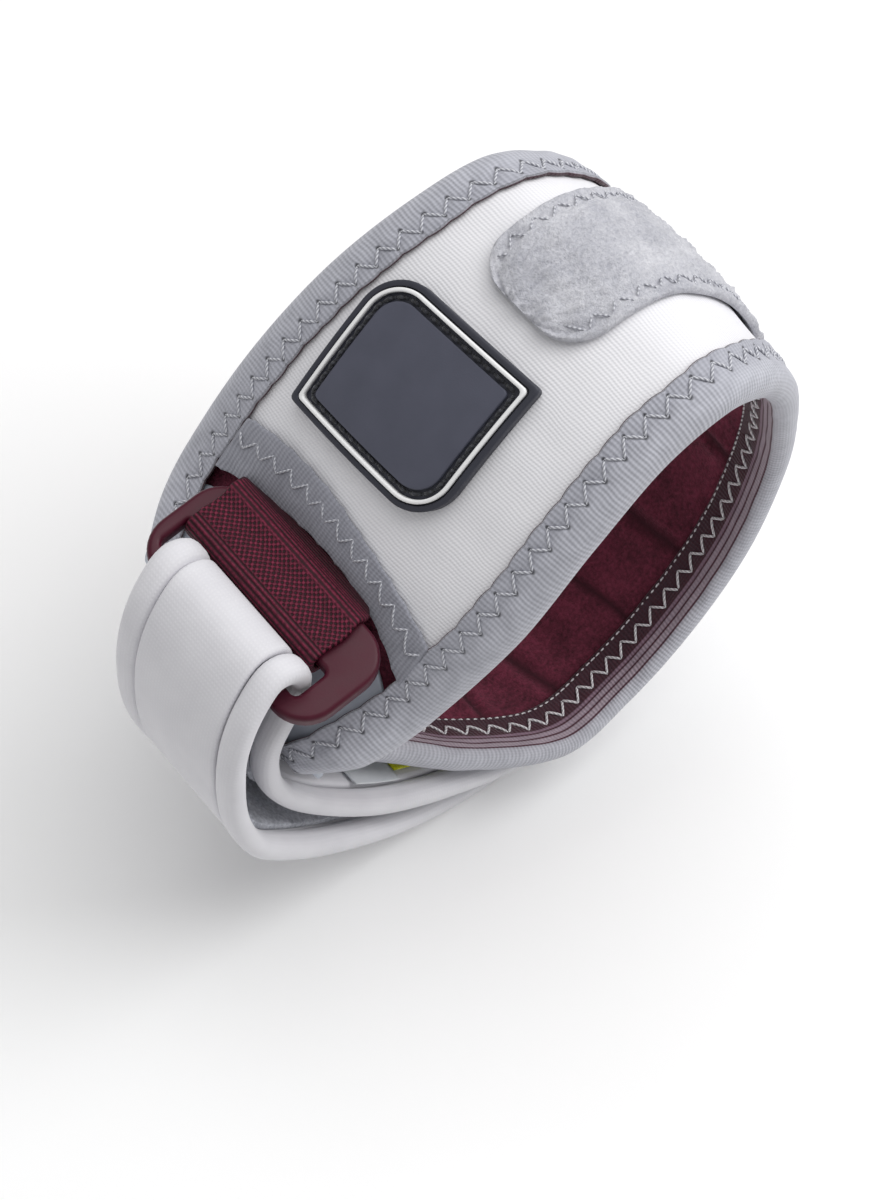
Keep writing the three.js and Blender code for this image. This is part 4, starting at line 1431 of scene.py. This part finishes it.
@dataclass
class ClosureStrap:
    """The foam strap: two rolled hems, the cloth between them, the pile inside and its tabs.

    Places along it are counted in steps, as in the CAD part.
    """

    width: float = 30.0
    hem: float = 3.8
    hem_width: float = 5.0
    core: float = 2.4
    steps: int = 56
    pile_run: tuple[float, float] = (0.8, 51.6)
    hook_run: tuple[float, float] = (51.8, 55.5)
    lime_run: tuple[float, float] = (7.4, 9.9)
    film_run: tuple[float, float] = (10.0, 12.0)
    rows: tuple[StrapRow, ...] = (
        StrapRow(0.54, round=0.7), StrapRow(0.56, round=0.735), StrapRow(0.57, round=0.77),
        StrapRow(0.56, round=0.805), StrapRow(0.53, round=0.84, layers=0.1),
        StrapRow(0.45, along=-0.458, out=-0.205), StrapRow(0.36, along=-0.527, out=-0.035),
        StrapRow(0.28, along=-0.557, out=0.085), StrapRow(0.22, along=-0.557, out=0.19),
        StrapRow(0.16, along=-0.52, out=0.268), StrapRow(0.11, along=-0.453, out=0.315),
        StrapRow(0.085, along=-0.408, out=0.3675), StrapRow(0.085, along=-0.405, out=0.433),
        StrapRow(0.085, along=-0.433, out=0.463), StrapRow(0.13, along=-0.492, out=0.455),
        StrapRow(0.19, along=-0.552, out=0.41), StrapRow(0.26, along=-0.605, out=0.32),
        StrapRow(0.33, along=-0.64, out=0.21), StrapRow(0.39, along=-0.645, out=0.11),
        StrapRow(0.43, along=-0.615, out=-0.01), StrapRow(0.46, along=-0.56, out=-0.155),
        StrapRow(0.48, along=-0.475, out=-0.33), StrapRow(0.49, along=-0.38, out=-0.45),
        StrapRow(0.5, round=0.795, layers=1.2), StrapRow(0.5, round=0.75, layers=1.05),
        StrapRow(0.5, round=0.715, layers=1.03), StrapRow(0.47, round=0.675, layers=0.6),
        StrapRow(0.42, round=0.64, layers=0.5), StrapRow(0.35, round=0.6, layers=0.5),
        StrapRow(0.28, round=0.565, layers=0.5), StrapRow(0.22, round=0.535, layers=0.5),
    )

    def __post_init__(self) -> None:
        """Lay the strap's run."""
        layer = self.hem + FORM.wall.gap
        seat = FORM.wall.rim_high + FORM.wall.gap + self.hem / 2
        points = []
        for row in self.rows:
            y = -row.shift * self.width
            if row.round is None:
                points.append(np.array([row.along * FORM.length, y, row.out * FORM.depth]))
            else:
                points.append(FORM.flat_point(row.round * FORM.loop, y, seat + row.layers * layer))
        self.path = Spline(np.array(points), closed=False)

    def beside(self, s: np.ndarray, q: np.ndarray, h: np.ndarray) -> np.ndarray:
        """Return points at s along the run, q across it and h above it."""
        p, t = self.path.at(s), self.path.along(s)
        level = np.hypot(t[..., 0], t[..., 2])
        laid = [p[..., 0] - t[..., 2] / level * h, p[..., 1] + q, p[..., 2] + t[..., 0] / level * h]
        return FORM.rest(np.stack(laid, -1))

    def ribbon(
        self, piece: Piece, run: tuple[float, float], rings: int, section: PadSection,
        sides: tuple[float, float], relief: Relief | None = None,
    ) -> bpy.types.Object:
        """Sweep a flat section along the strap's run.

        Args:
            piece: what it is.
            run: the steps at which it starts and ends.
            rings: how many rings it is cut into.
            section: its section.
            sides: its two sides across the run, in mm.
            relief: gives height to add to its upper face, in mm.

        Returns:
            The piece.
        """
        start, end = (place * self.path.length / self.steps for place in run)
        return pad_grid(
            piece, np.linspace(start, end, rings + 1),
            lambda s: (np.full(s.shape, sides[0]), np.full(s.shape, sides[1])), section, self.beside, relief,
        )

    def foam(self) -> None:
        """Make the two rolled hems and the laminate between them."""
        whole = (0, self.steps)
        outer, inner = self.width / 2, self.width / 2 - self.hem_width
        for name, sides in (("near", (-outer, -inner)), ("far", (inner, outer))):
            roll = self.ribbon(
                Piece(f"hem_roll_{name}", Finish.STRAP, "strap_knit", f"strap_hem_{name}"), whole, 300,
                PadSection(-self.hem / 2, self.hem / 2, 1.75, 8, puff=0.05), sides,
                lambda s, q: 0.1 * ripple(s, q, 15.0, 41),
            )
        low, half = -self.hem / 2 + 0.2, inner - 0.12
        cloth = self.ribbon(Piece("strap_cloth", Finish.STRAP, "strap_knit", "strap_core"), whole, 300,
                            PadSection(low, low + self.core, 0.7, 24), (-half, half))

    def facing(self) -> None:
        """Make the brushed pile on the foam, and the hook pad at its end."""
        half = self.width / 2 - self.hem_width - FORM.wall.gap
        low = -self.hem / 2 + 0.2 + self.core + FORM.wall.gap
        felt = self.ribbon(
            Piece("pile_felt", Finish.PILE, "pile_felt", "strap_pile"), self.pile_run, 420,
            PadSection(low - 0.2, low + 1, 0.3, 30), (-half, half),
            lambda s, q: 0.12 * ripple(s, q, 1.4, 51) + 0.1 * ripple(s, q, 4.0, 52),
        )
        declare(felt)
        self.ribbon(
            Piece("hook_pad", Finish.HOOKS, "hook_plastic", "hook_tab"), self.hook_run, 90,
            PadSection(low, low + 0.85, 0.2, 60), (1 - half, half - 1),
            lambda s, q: 0.15 * np.sin(TAU * s / 1.1) * np.sin(TAU * q / 1.1),
        )

    def tabs(self) -> None:
        """Make the lime tab and the film beside it."""
        high = -self.hem / 2 - FORM.wall.gap
        lime, _ = (self.ribbon(
            piece, run, 24, section, sides, lambda s, q: 0.05 * ripple(s, q, 8.0, 61),
        ) for piece, run, section, sides in (
            (Piece("lime_tab", Finish.LIME, "tab_ribbon", "pull_tab"), self.lime_run,
             PadSection(high - 0.6, high, 0.2, 20), (-8.5, 10.5)),
            (Piece("clear_tab", Finish.FILM, "film", "tab_film"), self.film_run,
             PadSection(high - 0.4, high, 0.15, 12), (-10.5, -3.0)),
        ))
        declare(lime)

    def build(self) -> None:
        """Make the strap."""
        self.foam()
        self.facing()
        self.tabs()


@dataclass
class Studio:
    """The pale floor, the soft light and the camera at the photograph's angle."""

    axis: tuple[float, float, float] = (0.644, -0.711, 0.276)
    right: tuple[float, float, float] = (0.743, 0.669, 0.0)
    origin: tuple[float, float] = (3.7, 19.2)
    distance: float = 500.0
    focal_px: float = 3000.0
    frame_px: float = 1200.0
    soft_floor: str = "#fcfcfc"
    room: float = 0.44

    def __post_init__(self) -> None:
        """Find the camera's right, up and back as the object lies at rest."""
        a = np.array(self.axis)
        a /= np.linalg.norm(a)
        x = np.array(self.right)
        x -= a * np.dot(x, a)
        x /= np.linalg.norm(x)
        turn = np.array([x, -a, np.cross(a, x)])
        roll = math.radians(FORM.rest_roll)
        cos, sin = math.cos(roll), math.sin(roll)
        self.basis = np.array([[cos, 0, sin], [0, 1, 0], [-sin, 0, cos]]) @ turn
        self.middle = np.array(FORM.rest_shift) - self.basis @ np.array([*self.origin, 0])

    def seen(self, right: float, up: float, back: float) -> Vector:
        """Return the place, in metres, at distances in mm from the picture's middle."""
        return Vector((self.middle + self.basis @ np.array([right, up, back])) * MM)

    def camera(self) -> None:
        """Set the camera where the photograph was taken from."""
        data = bpy.data.cameras.new("camera")
        data.sensor_fit = "VERTICAL"
        data.sensor_height = 36.0
        data.lens = self.focal_px / self.frame_px * 36.0
        data.clip_start = 0.01
        camera = bpy.data.objects.new("camera", data)
        turn = Matrix([list(row) + [0] for row in self.basis] + [[0, 0, 0, 1]])
        camera.matrix_world = Matrix.Translation(self.seen(0, 0, self.distance)) @ turn
        bpy.context.scene.collection.objects.link(camera)
        bpy.context.scene.camera = camera

    def floor(self) -> None:
        """Lay a broad pale floor."""
        bm = bmesh.new()
        bmesh.ops.create_grid(bm, x_segments=1, y_segments=1, size=3.0)
        bmesh.ops.translate(bm, verts=bm.verts, vec=(0, 0, -0.0002))
        mesh = bpy.data.meshes.new("floor")
        bm.to_mesh(mesh)
        bm.free()
        sheet = Sheet("matt white floor")
        mesh.materials.append(sheet.finish(self.soft_floor, 0.6))
        piece = bpy.data.objects.new("floor", mesh)
        bpy.context.scene.collection.objects.link(piece)

    def lamp(self, name: str, place: Vector, size: float, power: float) -> None:
        """Hang a square soft light that looks at the object.

        Args:
            name: its name.
            place: where it is, in metres.
            size: its side in metres.
            power: its power in watts.
        """
        data = bpy.data.lights.new(name, "AREA")
        data.size = size
        data.energy = power
        lamp = bpy.data.objects.new(name, data)
        lamp.location = place
        lamp.rotation_euler = (Vector((0, 0, 0.05)) - place).to_track_quat("-Z", "Y").to_euler()
        bpy.context.scene.collection.objects.link(lamp)

    def light(self) -> None:
        """Light it softly from the right and above, as in the photograph, over an even pale room."""
        world = bpy.data.worlds.new("pale room")
        world.use_nodes = True
        background = world.node_tree.nodes["Background"]
        background.inputs["Color"].default_value = linear("#ffffff")
        background.inputs["Strength"].default_value = self.room
        bpy.context.scene.world = world
        bpy.context.scene.view_settings.view_transform = "Standard"
        self.lamp("key", self.seen(820, 560, 480), 0.8, 6.0)
        self.lamp("top", Vector((0.15, 0.2, 1.1)), 1.0, 5.5)

    def build(self) -> None:
        """Make the studio."""
        self.camera()
        self.floor()
        self.light()


def main() -> None:
    """Build the studio and each part of the object in order."""
    Studio().build()
    CuffWall().build()
    for rim in Rim:
        RimTape(rim).build()
    Window().build()
    LoopPatch().build()
    Badge().build()
    buckle = Buckle()
    buckle.build()
    Webbing(buckle).build()
    ClosureStrap().build()


if __name__ == "__main__":
    main()
